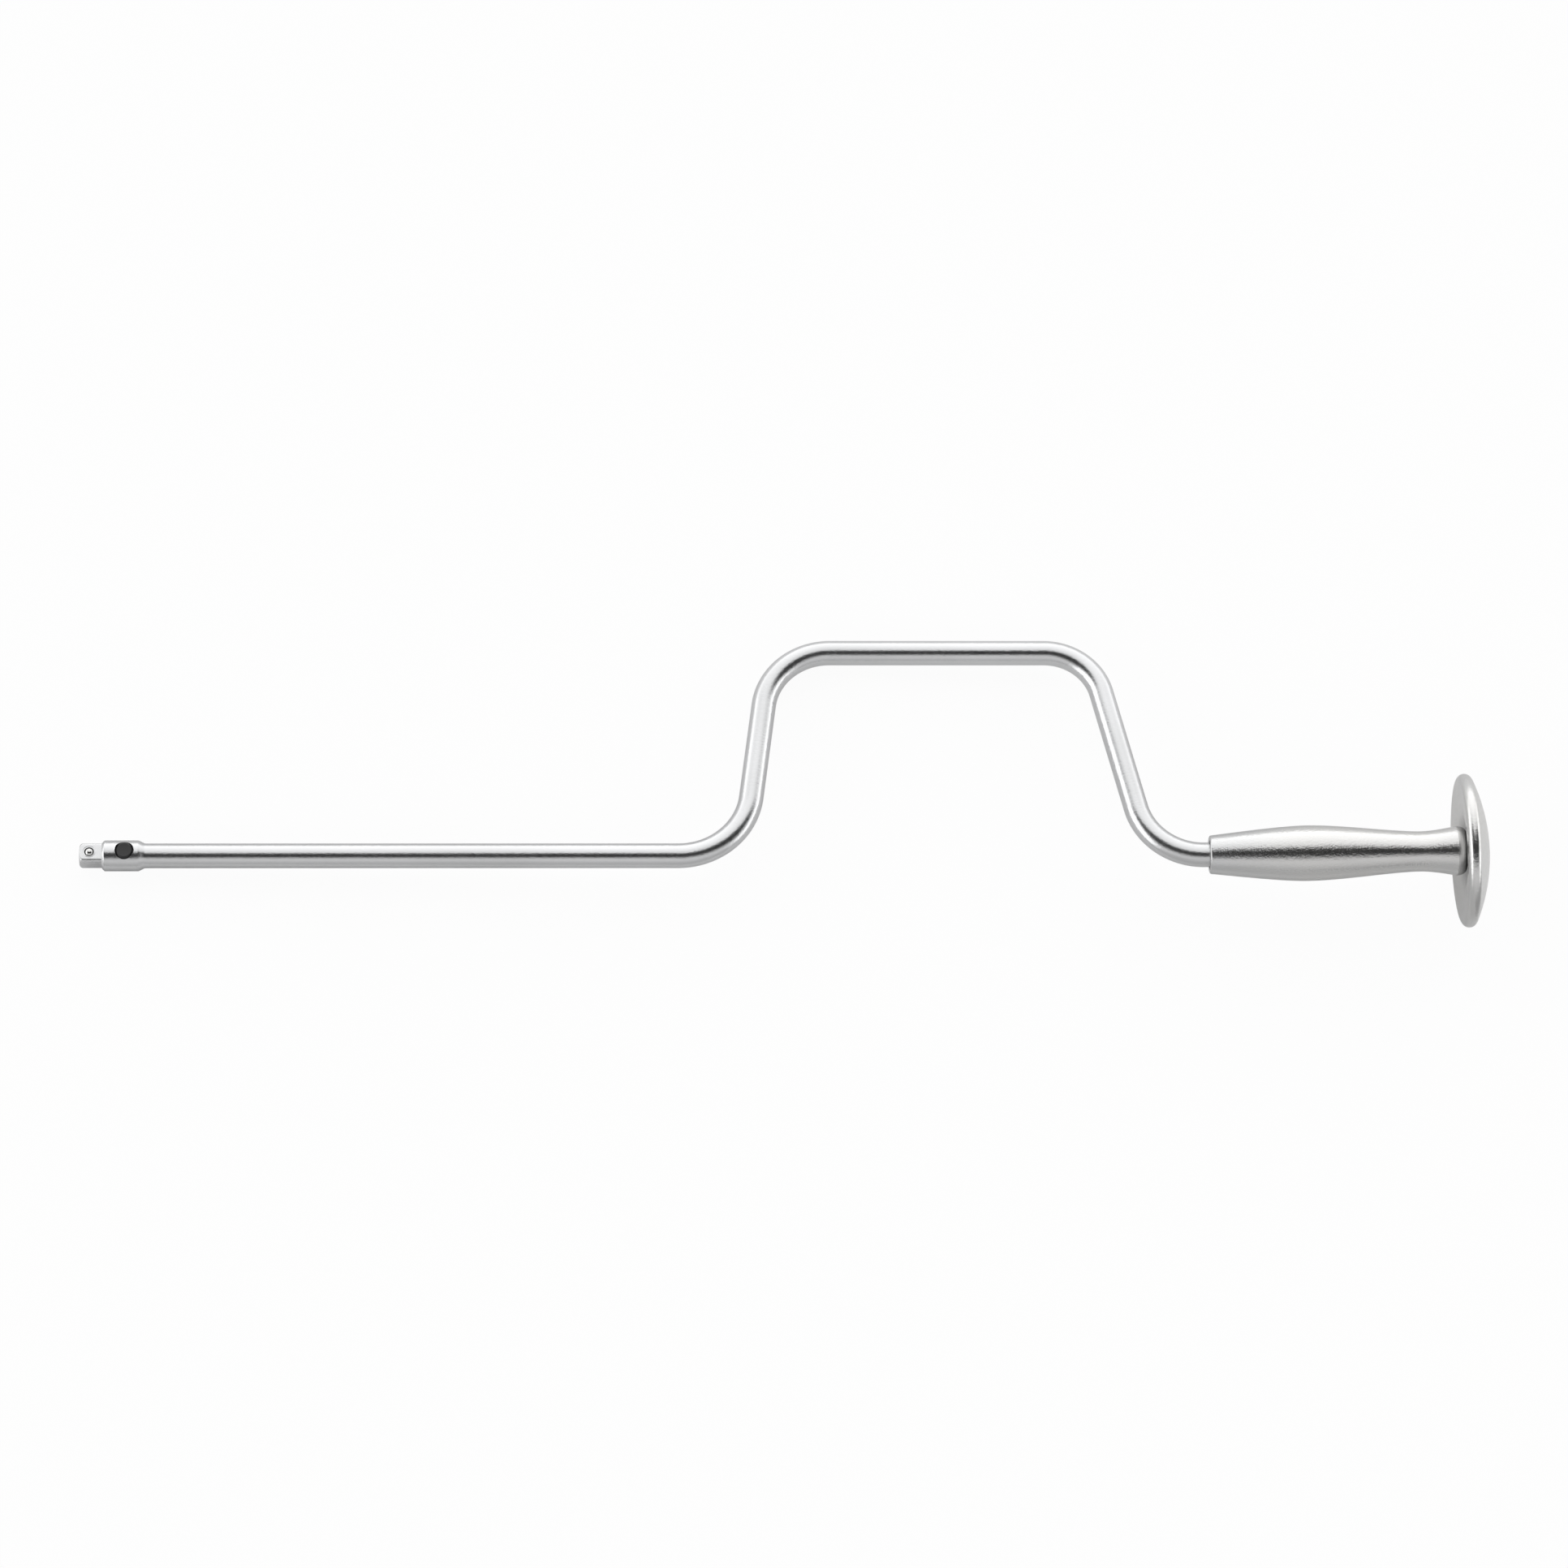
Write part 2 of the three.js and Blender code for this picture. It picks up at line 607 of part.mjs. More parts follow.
function thrustWasher() {
  const washer = ring(WASHER_START, WASHER_START + WASHER_THICK, BUSH_BORE, BUSH_RADIUS, BAR_SIDES);
  return toGeometry(toSolid(washer));
}

// The open ring in the stem's groove, with its opening on the Y side.
function retainingRing() {
  const inner = BAR_RADIUS - GROOVE_DEPTH + PRESS_GAP;
  const whole = toSolid(ring(RING_START, RING_START + RING_THICK, inner, inner + RING_HEIGHT, BAR_SIDES));
  const half = THREE.MathUtils.degToRad(RING_OPENING_DEGREES / 2);
  const reach = inner + RING_HEIGHT + CUT_MARGIN;
  const wedge = new THREE.Shape([
    new THREE.Vector2(0, 0),
    new THREE.Vector2(reach, -reach * Math.tan(half)),
    new THREE.Vector2(reach, reach * Math.tan(half)),
  ]);
  const depth = RING_THICK + 2 * CUT_MARGIN;
  const opening = new THREE.ExtrudeGeometry(wedge, { depth, bevelEnabled: false });
  opening.rotateZ(Math.PI / 2).rotateY(Math.PI / 2).translate(RING_START - CUT_MARGIN, 0, 0);
  return toGeometry(whole.subtract(toSolid(opening)));
}

function thrustBall() {
  return toGeometry(toSolid(new THREE.SphereGeometry(THRUST_BALL_RADIUS, SMALL_SIDES, SMALL_SIDES / 2)));
}

// The palm disc: dome, round rim, dished inner face, and the spigot that the sleeve is pressed on.
function palmDisc() {
  const domeCentre = DOME_APEX - DOME_RADIUS;
  const rimRadius = DISC_RADIUS - DISC_RIM_ROUND;
  const rimAt = domeCentre + Math.sqrt((DOME_RADIUS - DISC_RIM_ROUND) ** 2 - rimRadius ** 2);
  const domeAngle = Math.asin(rimRadius / (DOME_RADIUS - DISC_RIM_ROUND));
  const spigot = SLEEVE_BORE - PRESS_GAP;
  const pocket = THRUST_BALL_RADIUS + RUN_GAP;
  const pocketEnd = THRUST_BALL_AT + THRUST_BALL_RADIUS + RUN_GAP;
  const dish = new THREE.QuadraticBezierCurve(
    new THREE.Vector2(DISC_HUB + DISC_HUB_RISE, DISC_HUB_RADIUS),
    new THREE.Vector2(rimAt - DISC_RIM_ROUND, DISC_DISH_SWEEP),
    new THREE.Vector2(rimAt - DISC_RIM_ROUND, rimRadius),
  );
  const rim = arc([rimAt, rimRadius], DISC_RIM_ROUND, Math.PI, domeAngle);
  const dome = arc([domeCentre, 0], DOME_RADIUS, domeAngle, 0);
  const outline = [
    [pocketEnd, 0],
    [pocketEnd, pocket],
    [SPIGOT_START, pocket],
    [SPIGOT_START, spigot],
    [DISC_HUB, spigot],
    [DISC_HUB, DISC_HUB_RADIUS],
    [DISC_HUB + DISC_HUB_RISE, DISC_HUB_RADIUS],
    ...along(dish, ROUND_STEPS),
    ...along(rim, CURVE_STEPS),
    ...along(dome, CURVE_STEPS).slice(0, -1),
    [DOME_APEX, 0],
  ];
  return toGeometry(toSolid(turned(outline, DISC_SIDES)));
}

function piece(name, geometry, material, place = new THREE.Vector3()) {
  const mesh = new THREE.Mesh(geometry, material);
  mesh.name = name;
  mesh.position.copy(place);
  return mesh;
}

// The drive end and the crank, in the tool frame.
function driveAndCrank() {
  const group = new THREE.Group();
  group.add(
    piece('crank_bar', crankBar(), CHROME),
    piece('lock_ball', lockBall(), BRIGHT_STEEL, new THREE.Vector3(BALL_FROM_TIP, 0, BALL_HEIGHT)),
    piece('lock_rod', lockRod(), BRIGHT_STEEL),
    piece('rod_spring', rodSpring(), SPRING_STEEL),
    piece('tip_plug', tipPlug(), BRIGHT_STEEL),
    piece('release_button', releaseButton(), BLACK_BUTTON, new THREE.Vector3(BUTTON_FROM_TIP, 0, 0)),
  );
  return group;
}

// The turning grip and what keeps it on, in the stem's frame: X along the stem, from the last corner.
function gripOnStem() {
  const group = new THREE.Group();
  group.position.copy(lastCorner());
  group.rotation.z = STEM_LEAN;
  group.add(
    piece('grip_sleeve', gripSleeve(), CHROME),
    piece('front_bush', bush(SLEEVE_START + FRONT_BUSH_INSET), BUSH_BRONZE),
    piece('rear_bush', bush(REAR_BUSH_START), BUSH_BRONZE),
    piece('thrust_washer', thrustWasher(), BRIGHT_STEEL),
    piece('retaining_ring', retainingRing(), SPRING_STEEL),
    piece('thrust_ball', thrustBall(), BRIGHT_STEEL, new THREE.Vector3(THRUST_BALL_AT, 0, 0)),
    piece('palm_disc', palmDisc(), CHROME),
  );
  return group;
}

// Points of a named piece in the tool frame, of those that a test picks.
function pointsOf(tool, name, picks) {
  const mesh = tool.getObjectByName(name);
  const positions = mesh.geometry.getAttribute('position');
  const points = [];
  for (let i = 0; i < positions.count; i += 1) {
    const point = new THREE.Vector3().fromBufferAttribute(positions, i).applyMatrix4(mesh.matrixWorld);
    if (picks(point)) {
      points.push(point);
    }
  }
  return points;
}

function lowest(points, up) {
  return points.reduce((low, point) => (point.dot(up) < low.dot(up) ? point : low));
}

// The floor's normal when the tool lies on its collar, its crank and its palm disc.
function restingNormal(tool) {
  const supports = [
    pointsOf(tool, 'crank_bar', (point) => point.x < COLLAR_END),
    pointsOf(tool, 'palm_disc', () => true),
    pointsOf(tool, 'crank_bar', (point) => point.y > THROW / 2),
  ];
  let up = new THREE.Vector3(0, 0, 1);
  for (let pass = 0; pass < SETTLE_PASSES; pass += 1) {
    const [collarFoot, discFoot, crankFoot] = supports.map((points) => lowest(points, up));
    const alongTool = discFoot.clone().sub(collarFoot);
    up = alongTool.cross(crankFoot.clone().sub(collarFoot)).normalize();
  }
  return up;
}

// Turns the tool so that it rests on the floor, then centres it over the origin.
function layDown(tool) {
  tool.updateMatrixWorld(true);
  const up = restingNormal(tool);
  const forward = new THREE.Vector3(1, 0, 0).projectOnPlane(up).normalize();
  const side = up.clone().cross(forward);
  const basis = new THREE.Matrix4().makeBasis(forward, side, up);
  tool.quaternion.setFromRotationMatrix(basis.transpose());
  tool.updateMatrixWorld(true);
  const box = new THREE.Box3().setFromObject(tool, true);
  const centre = box.getCenter(new THREE.Vector3());
  tool.position.set(-centre.x, -centre.y, -box.min.z);
}

const brace = new THREE.Group();
brace.add(driveAndCrank(), gripOnStem());
layDown(brace);

export default brace;
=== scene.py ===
import json
import math

import bmesh
import bpy
from bpy.props import FloatProperty, FloatVectorProperty, IntProperty, PointerProperty
from mathutils import Matrix, Vector


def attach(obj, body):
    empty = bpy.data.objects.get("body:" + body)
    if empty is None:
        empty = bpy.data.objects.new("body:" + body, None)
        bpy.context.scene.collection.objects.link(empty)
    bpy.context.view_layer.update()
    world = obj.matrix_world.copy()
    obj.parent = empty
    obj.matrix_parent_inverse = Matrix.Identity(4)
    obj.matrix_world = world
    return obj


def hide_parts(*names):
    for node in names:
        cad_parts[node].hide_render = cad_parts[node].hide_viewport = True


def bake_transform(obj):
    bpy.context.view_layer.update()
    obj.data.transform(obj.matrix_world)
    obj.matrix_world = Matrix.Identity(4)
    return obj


bl_info = {
    "name": "Speed brace",
    "version": (1, 0, 0),
    "blender": (4, 5, 0),
    "location": "View3D > Sidebar > Speed brace",
    "description": "Dresses the packed speed brace in smooth, satin-chromed pieces",
    "category": "Object",
}

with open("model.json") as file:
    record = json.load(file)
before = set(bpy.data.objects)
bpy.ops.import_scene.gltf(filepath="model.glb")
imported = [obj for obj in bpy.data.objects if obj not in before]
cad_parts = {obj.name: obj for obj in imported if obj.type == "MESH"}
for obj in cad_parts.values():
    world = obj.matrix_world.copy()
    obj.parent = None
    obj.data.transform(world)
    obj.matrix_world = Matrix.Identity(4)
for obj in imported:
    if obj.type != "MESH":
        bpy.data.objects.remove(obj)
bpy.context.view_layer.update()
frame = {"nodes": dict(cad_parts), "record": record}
RECORD = frame["record"]

MM = 0.001
FULL_TURN = 2 * math.pi
CUT_MARGIN = 1.0 * MM
SHARP_ANGLE = math.radians(32)
AROUND_MAP = "around_along"

# How near places count as the same, for points, for slivers of faces, for edges of faces and for directions.
MERGE = 1e-7
SLIVER = 1e-8
NEAR = 0.02 * MM
STRAIGHT = 1e-6

# Steps of the smooth meshes.
BAR_SIDES = 144
TURNED_SIDES = 160
DISC_SIDES = 240
SMALL_SIDES = 72
BEND_STEPS = 48
STRAIGHT_STEPS = 24
CURVE_STEPS = 40
ROUND_STEPS = 12
COIL_STEPS = 24
WIRE_SIDES = 10

# The collar: its soft edge over its chamfer, that edge's drop, and how far the fall's ends keep level.
COLLAR_EDGE = 1 / 5
COLLAR_EDGE_DROP = 1 / 3
FALL_LEVEL = 0.15

# The ball: the clearance of its hole, and its worn flat. The stake ring's tool is round, and lifted by
# a share of its radius.
BALL_GAP = 0.1 * MM
BALL_WORN = math.radians(9)
STAKE_GROOVE = 0.2 * MM
STAKE_LIFT = 0.55

# The plug in the tip.
PLUG_GAP = 0.1 * MM
PLUG_CHAMFER = 0.2 * MM

# The button's well, up the drive from the bar's axis, and its clearance round the flange.
WELL_FLOOR = -3.3 * MM
WELL_LIP = 3.65 * MM
WELL_GAP = 0.3 * MM
WELL_COUNTERSINK = 0.25 * MM

# The button's dish, the fall of its bevel over the bevel's width, its flange and the wedge under it.
BUTTON_DISH = 0.08 * MM
BUTTON_BEVEL_SLOPE = 0.8
FLANGE_BOTTOM = 2.95 * MM
FLANGE_TOP = 3.55 * MM
FLANGE_RISE = 0.2 * MM
WEDGE_DROP = 1.6 * MM
WEDGE_SHIFT = 0.6 * MM
WEDGE_HALF = 0.7 * MM

# How far the coil's rise falls off towards its ends, which lie nearly closed.
COIL_CLOSES = 0.55

# The sleeve's curves: how far each keeps its first and last direction, how far two of them rise on the
# way, and how far the rounding at the rear keeps its directions.
CURVE_LEAVES = 1 / 3
CURVE_REACHES = 1 / 4
SWELL_LEAVES_RISING = 0.42
FLARE_REACHED_RISING = 1 / 3
REAR_ROUND_LEAVES = 0.55
SLEEVE_CHAMFER = 0.3 * MM


def length(name, description, millimetres):
    """A length property whose default is given in millimetres."""
    default = millimetres * MM
    return FloatProperty(name=name, description=description, default=default, unit="LENGTH", precision=5)


def angle(name, description, degrees):
    """An angle property whose default is given in degrees."""
    return FloatProperty(name=name, description=description, default=math.radians(degrees), subtype="ANGLE")


def colour(name, description, default):
    """A colour property in linear light."""
    return FloatVectorProperty(name=name, description=description, default=default, size=3, min=0, max=1,
                               subtype="COLOR")


def share(name, description, default, high=1.0):
    """A plain factor."""
    return FloatProperty(name=name, description=description, default=default, min=0, max=high,
                         subtype="FACTOR")


def count(name, description, default, low):
    """A whole number."""
    return IntProperty(name=name, description=description, default=default, min=low)


class BraceDriveSizes(bpy.types.PropertyGroup):
    """The square drive, its collar, the lock ball, the button and the spring."""

    square: length("Square", "Width across the flats of the drive", 6.3)
    square_corner: length("Corner", "Rounding along the square's edges", 0.75)
    square_length: length("Square length", "From the tip to the collar", 7.3)
    tip_round: length("Tip rounding", "Rounding of the square's corners at the tip", 1.4)
    collar_radius: length("Collar radius", "Radius of the collar that carries the button", 5.0)
    collar_chamfer: length("Collar chamfer", "Chamfer on the front of the collar", 0.75)
    collar_end: length("Collar end", "From the tip to where the collar starts to fall off", 18.9)
    collar_taper: length("Collar taper", "Length of the fall from collar to bar", 2.3)
    bore: length("Bore", "Radius of the bore along the drive", 1.55)
    bore_end: length("Bore end", "How deep the bore goes", 29.388)
    plug_length: length("Plug length", "Length of the plug in the bore's mouth", 1.0)
    ball_radius: length("Ball radius", "Radius of the lock ball", 1.5)
    ball_at: length("Ball place", "From the tip to the ball's middle", 3.25)
    ball_height: length("Ball height", "The ball's middle above the bar's axis", 2.35)
    ball_mouth: length("Ball mouth", "Radius of the staked mouth that holds the ball", 1.45)
    ball_bevel: length("Ball bevel", "How far the ball's mouth opens towards the flat", 0.12)
    ball_lip: length("Ball lip", "Depth of the staked mouth", 0.3)
    stake_radius: length("Stake ring", "Radius of the ring that the staking tool leaves", 1.92)
    button_at: length("Button place", "From the tip to the button's middle", 14.6)
    button_radius: length("Button radius", "Radius of the button's head", 2.85)
    button_face: length("Button face", "The button's face above the bar's axis", 4.7)
    button_bevel: length("Button bevel", "Width of the bevel round the button's face", 0.55)
    button_mouth: length("Button mouth", "Radius of the hole that the button stands in", 3.05)
    spring_wire: length("Spring wire", "Radius of the wire of the spring behind the rod", 0.25)
    spring_coil: length("Spring coil", "Radius of the coil, to the middle of its wire", 1.1)
    spring_turns: count("Spring turns", "How many turns the coil has", 8, 2)


class BraceBarSizes(bpy.types.PropertyGroup):
    """The bent bar."""

    radius: length("Bar radius", "Radius of the round bar", 4.0)
    shaft: length("Shaft", "From the tip to the first corner", 214.6)
    throw: length("Throw", "How far the crank stands out", 73.4)
    front_slant: length("Front slant", "How far the front arm leans back", 9.3)
    span: length("Span", "Between the crank's two upper corners", 104.6)
    rear_slant: length("Rear slant", "How far the rear arm leans back", 18.0)
    front_lower_bend: length("First bend", "Radius of the first bend", 24.0)
    front_upper_bend: length("Second bend", "Radius of the second bend", 21.8)
    rear_upper_bend: length("Third bend", "Radius of the third bend", 19.2)
    rear_lower_bend: length("Last bend", "Radius of the last bend", 22.2)
    stem: length("Stem", "From the last corner to the stem's end", 88.7)
    stem_lean: angle("Stem lean", "How far the stem leans towards the crank", 1.0)
    sides: count("Bar sides", "Facets round the bar", BAR_SIDES, 24)


class BraceGripSizes(bpy.types.PropertyGroup):
    """The sleeve that turns on the stem, and the palm disc; lengths run from the last corner."""

    start: length("Sleeve start", "Where the sleeve starts", 19.1)
    sleeve: length("Sleeve length", "Length of the sleeve", 83.4)
    bore: length("Sleeve bore", "Radius of the sleeve's bore", 5.15)
    front: length("Front radius", "Radius at the front lip", 6.27)
    front_round: length("Front rounding", "Rounding of the front lip", 0.7)
    belly_at: length("Belly place", "From the sleeve's front to its thickest place", 31.7)
    belly: length("Belly radius", "Radius at the thickest place", 9.01)
    waist_at: length("Waist place", "From the sleeve's front to its waist", 68.6)
    waist: length("Waist radius", "Radius at the waist", 6.52)
    flare_at: length("Flare place", "From the sleeve's front to its flared end", 80.3)
    flare: length("Flare radius", "Radius at the flared end", 8.01)
    end: length("End radius", "Radius of the flat rear end", 6.17)
    disc_radius: length("Disc radius", "Radius of the palm disc", 24.95)
    disc_lean: angle("Disc lean", "How far the disc leans on its spigot", 1.3)
    disc_rim: length("Disc rim", "Rounding of the disc's rim", 2.25)
    disc_thick: length("Disc thickness", "From the hub to the top of the dome", 7.0)
    dome: length("Dome radius", "Radius of the dome that the palm lies on", 58.0)
    hub: length("Hub radius", "Radius of the hub behind the sleeve", 5.2)
    hub_rise: length("Hub rise", "How far the hub stands out of the dish", 0.4)
    dish_sweep: length("Dish sweep", "Where the disc's inner face turns outwards", 16.0)
    # Painted shade: how far from the hub the disc's plate is painted darker, standing in for the shade in
    # the recess.
    recess_shade: length("Recess", "How far from the hub the plate is unbuffed", 9.0)
    seat_gap: length("Seat gap", "Between the sleeve and the disc's hub", 0.3)
    spigot_nose: length("Spigot nose", "From the stem's end to the spigot", 1.2)
    thrust_ball: length("Thrust ball", "Radius of the ball that takes the palm's push", 2.5)
    run_gap: length("Running gap", "Clearance round parts that move", 0.1)


class BraceFinishes(bpy.types.PropertyGroup):
    """Colours and finishes."""

    chrome: colour("Chrome", "Colour of the satin chrome plate", (0.60, 0.603, 0.61))
    grip_chrome: colour("Grip chrome", "Colour of the plate on sleeve and disc", (0.605, 0.60, 0.59))
    chrome_dull: colour("Dull chrome", "Colour where the plate is handled", (0.56, 0.563, 0.567))
    chrome_edge: colour("Chrome edge", "How chromium darkens at a low angle", (0.88, 0.88, 0.88))
    chrome_roughness: share("Chrome roughness", "How satin the plate is", 0.21)
    steel: colour("Steel", "Colour of the ground steel", (0.60, 0.60, 0.59))
    # Painted shade: the dark that the disc's plate is painted round the hub, standing in for the shade in
    # the recess between sleeve and disc.
    recess_shade: colour("Recess", "Colour of the plate where no buff reaches", (0.09, 0.09, 0.09))
    # Painted shade: the unplated walls of the holes are painted near black for the shade inside the holes.
    hole_wall_shade: colour("Bare steel", "Colour of the unplated walls of the holes", (0.05, 0.05, 0.05))
    spring: colour("Spring steel", "Colour of the drawn wire and the ring", (0.28, 0.285, 0.29))
    bronze: colour("Bronze", "Colour of the bushes", (0.43, 0.26, 0.09))
    button: colour("Button", "Colour of the blackened button", (0.007, 0.007, 0.0075))
    floor: colour("Floor", "Colour of the floor", (0.96, 0.96, 0.96))


class BraceStageSettings(bpy.types.PropertyGroup):
    """Where the camera stands, in the tool's own frame, and how bright the room is."""

    pivot: FloatVectorProperty(name="Pivot", description="What the camera turns about", size=3,
                               default=(0.225, 0.025, 0.0), subtype="XYZ", unit="LENGTH")
    distance: length("Distance", "From the camera to the pivot", 2376.0)
    tilt: angle("Tilt", "From straight over the crank's plane towards the shaft", 25.61)
    swing: angle("Swing", "From straight across the tool towards its drive end", 0.80)
    lens: FloatProperty(name="Lens", description="Focal length", default=167.7, unit="CAMERA")
    sensor: FloatProperty(name="Sensor", description="Width of the sensor", default=36.0, unit="CAMERA")
    aside: length("Aside", "How far right of the pivot the camera looks", 2.92)
    above: length("Above", "How far above the pivot the camera looks", 0.70)
    floor_size: length("Floor size", "Side of the square floor", 6000.0)
    floor_white: share("Floor white", "How far the floor shows plain white, lightening its shadow", 0.94)
    # Painted light and shade on the floor as metal mirrors it: white behind the tool, dimmer before it.
    floor_behind: share("Floor behind", "The same where metal mirrors the floor behind the tool", 1.0)
    floor_before: share("Floor before", "The same where metal mirrors the floor before the tool", 0.5)
    mirrored_front_shade: share("Floor dim", "Brightness of the floor before the tool where metal mirrors it", 0.45)
    room: share("Room", "Brightness of the room", 0.95, 4.0)


def settings(name):
    return getattr(bpy.context.scene, "brace_" + name)


# The tool's own frame.


def mount(name):
    return next(entry for entry in RECORD["mounts"] if entry["name"] == name)


def tool_frame():
    """From the tool's frame to the row's: X from tip to disc, Y to the crank, Z to the button."""
    forward = -Vector(mount("drive_tip")["axis"])
    side = Vector(mount("drive_flat_crank_side")["axis"])
    up = forward.cross(side).normalized()
    side = up.cross(forward).normalized()
    turn = Matrix((forward, side, up)).transposed().to_4x4()
    tip = Vector(mount("drive_tip")["pos_m"])
    flat = Vector(mount("drive_flat_crank_side")["pos_m"])
    across = settings("drive").square / 2
    axis_point = flat - side * across
    origin = axis_point + forward * (tip - axis_point).dot(forward)
    return Matrix.Translation(origin) @ turn


def last_corner():
    bar = settings("bar")
    return Vector((bar.shaft + bar.front_slant + bar.span + bar.rear_slant, 0, 0))


def stem_frame():
    """From the stem's frame to the row's: X along the stem, from the last corner."""
    lean = Matrix.Rotation(settings("bar").stem_lean, 4, "Z")
    return tool_frame() @ Matrix.Translation(last_corner()) @ lean


# Meshes.


def link(name, mesh):
    made = bpy.data.objects.new(name, mesh)
    bpy.context.scene.collection.objects.link(made)
    return made


def polar(radius, turn):
    return radius * math.cos(turn), radius * math.sin(turn)


def marks_along(points):
    """Distances along a row of points, from its first."""
    marks = [0.0]
    for before, after in zip(points, points[1:]):
        marks.append(marks[-1] + math.dist(before, after))
    return marks


def new_skin():
    """An empty mesh, with the map that holds the turn round a piece and the distance along it."""
    mesh = bmesh.new()
    return mesh, mesh.loops.layers.uv.new(AROUND_MAP)


def join_rows(mesh, around, rows, pairs, marks):
    """Makes faces between pairs of rows of points; marks are the distances along for the map."""
    sides = len(rows[0])
    for low, high in pairs:
        for step in range(sides):
            after = (step + 1) % sides
            corners = (rows[low][step], rows[low][after], rows[high][after], rows[high][step])
            turns = (step, step + 1, step + 1, step)
            heights = (marks[low], marks[low], marks[high], marks[high])
            for loop, turn, height in zip(mesh.faces.new(corners).loops, turns, heights):
                loop[around].uv = (turn / sides, height)


def finished_mesh(name, mesh):
    """Turns all faces outwards and puts the mesh into the scene."""
    bmesh.ops.recalc_face_normals(mesh, faces=mesh.faces)
    data = bpy.data.meshes.new(name)
    mesh.to_mesh(data)
    mesh.free()
    return link(name, data)


def loft(name, rings):
    """A closed skin over rings of points."""
    mesh, around = new_skin()
    rows = [[mesh.verts.new(point) for point in ring] for ring in rings]
    marks = marks_along([sum(ring, Vector()) / len(ring) for ring in rings])
    join_rows(mesh, around, rows, [(row, row + 1) for row in range(len(rows) - 1)], marks)
    for row, mark in ((rows[0], marks[0]), (rows[-1], marks[-1])):
        for loop in mesh.faces.new(row).loops:
            loop[around].uv = (0, mark)
    bmesh.ops.remove_doubles(mesh, verts=mesh.verts, dist=MERGE)
    return finished_mesh(name, mesh)


def turned(name, profile, sides, axis="X", closed=False):
    """A turned body about X or Z from [along, radius] points; a closed profile makes a ring."""
    mesh, around = new_skin()
    rows = []
    for distance, radius in profile:
        row = []
        for step in range(sides):
            a, b = polar(radius, FULL_TURN * step / sides)
            row.append(mesh.verts.new((distance, a, b) if axis == "X" else (a, b, distance)))
        rows.append(row)
    pairs = [(row, row + 1) for row in range(len(rows) - 1)]
    if closed:
        pairs.append((len(rows) - 1, 0))
    join_rows(mesh, around, rows, pairs, marks_along(profile))
    bmesh.ops.remove_doubles(mesh, verts=mesh.verts, dist=MERGE)
    bmesh.ops.dissolve_degenerate(mesh, edges=mesh.edges, dist=SLIVER)
    return finished_mesh(name, mesh)


def carve(body, tools, operation="DIFFERENCE"):
    """Cuts the tools out of a body, or joins them to it, and removes them."""
    for tool in tools:
        cut = body.modifiers.new("cut", "BOOLEAN")
        cut.operation = operation
        cut.solver = "EXACT"
        cut.object = tool
    evaluated = body.evaluated_get(bpy.context.evaluated_depsgraph_get())
    carved = bpy.data.meshes.new_from_object(evaluated)
    body.modifiers.clear()
    body.data = carved
    for tool in tools:
        bpy.data.objects.remove(tool)


def finish(piece, place, node, material):
    """Puts a made piece in its place in the row's frame, gives it its finish and smooth shading, and hides
    the imported part of its node.
    """
    piece.data.transform(place)
    piece.data.materials.clear()
    piece.data.materials.append(material)
    piece.data.shade_smooth()
    piece.data.set_sharp_from_angle(angle=SHARP_ANGLE)
    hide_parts(node)


def dress(piece, place, body, node, material):
    """Finishes a piece that moves with one body."""
    finish(piece, place, node, material)
    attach(piece, body)


# Curves of profiles.


def bezier(a, b, c, d, steps):
    """Points of a cubic curve, without its first point."""
    points = []
    for step in range(1, steps + 1):
        t = step / steps
        s = 1 - t
        weights = (s ** 3, 3 * s * s * t, 3 * s * t * t, t ** 3)
        points.append(tuple(sum(w * p[k] for w, p in zip(weights, (a, b, c, d))) for k in (0, 1)))
    return points


def arc(centre, radius, start, end, steps):
    """Points of an arc, its first point included."""
    points = []
    for step in range(steps + 1):
        along, out = polar(radius, start + (end - start) * step / steps)
        points.append((centre[0] + along, centre[1] + out))
    return points


# The bar.


def square_reach(drive, turn):
    """The square's distance from its axis in one direction, its rounded corners included."""
    half = drive.square / 2
    flat = half - drive.square_corner
    folded = abs((turn + math.pi / 4) % (math.pi / 2) - math.pi / 4)
    on_flat = half / math.cos(folded)
    if on_flat * math.sin(folded) <= flat:
        return on_flat
    to_corner, aside = polar(flat * math.sqrt(2), math.pi / 4 - folded)
    return to_corner + math.sqrt(drive.square_corner ** 2 - aside ** 2)


def tip_reach(drive, distance):
    """The turned nose's radius at a distance from the tip."""
    corner = drive.square_corner
    widest = drive.square * math.sqrt(0.5) - corner * (math.sqrt(2) - 1)
    if distance >= drive.tip_round:
        return widest
    below = drive.tip_round - distance
    return widest - drive.tip_round + math.sqrt(drive.tip_round ** 2 - below ** 2)


def square_rings(drive, sides):
    """Rings of the square tang, from its tip to the collar's front."""
    shares = [step / ROUND_STEPS for step in range(ROUND_STEPS + 1)]
    rest = drive.square_length - drive.tip_round
    nose = [drive.tip_round * (1 - math.cos(math.pi / 2 * part)) for part in shares]
    straight = [drive.tip_round + rest * part for part in shares[1:]]
    rings = []
    for distance in nose + straight:
        ring = []
        for step in range(sides):
            turn = FULL_TURN * step / sides
            reach = min(square_reach(drive, turn), tip_reach(drive, distance))
            ring.append(Vector((distance, *polar(reach, turn))))
        rings.append(ring)
    return rings


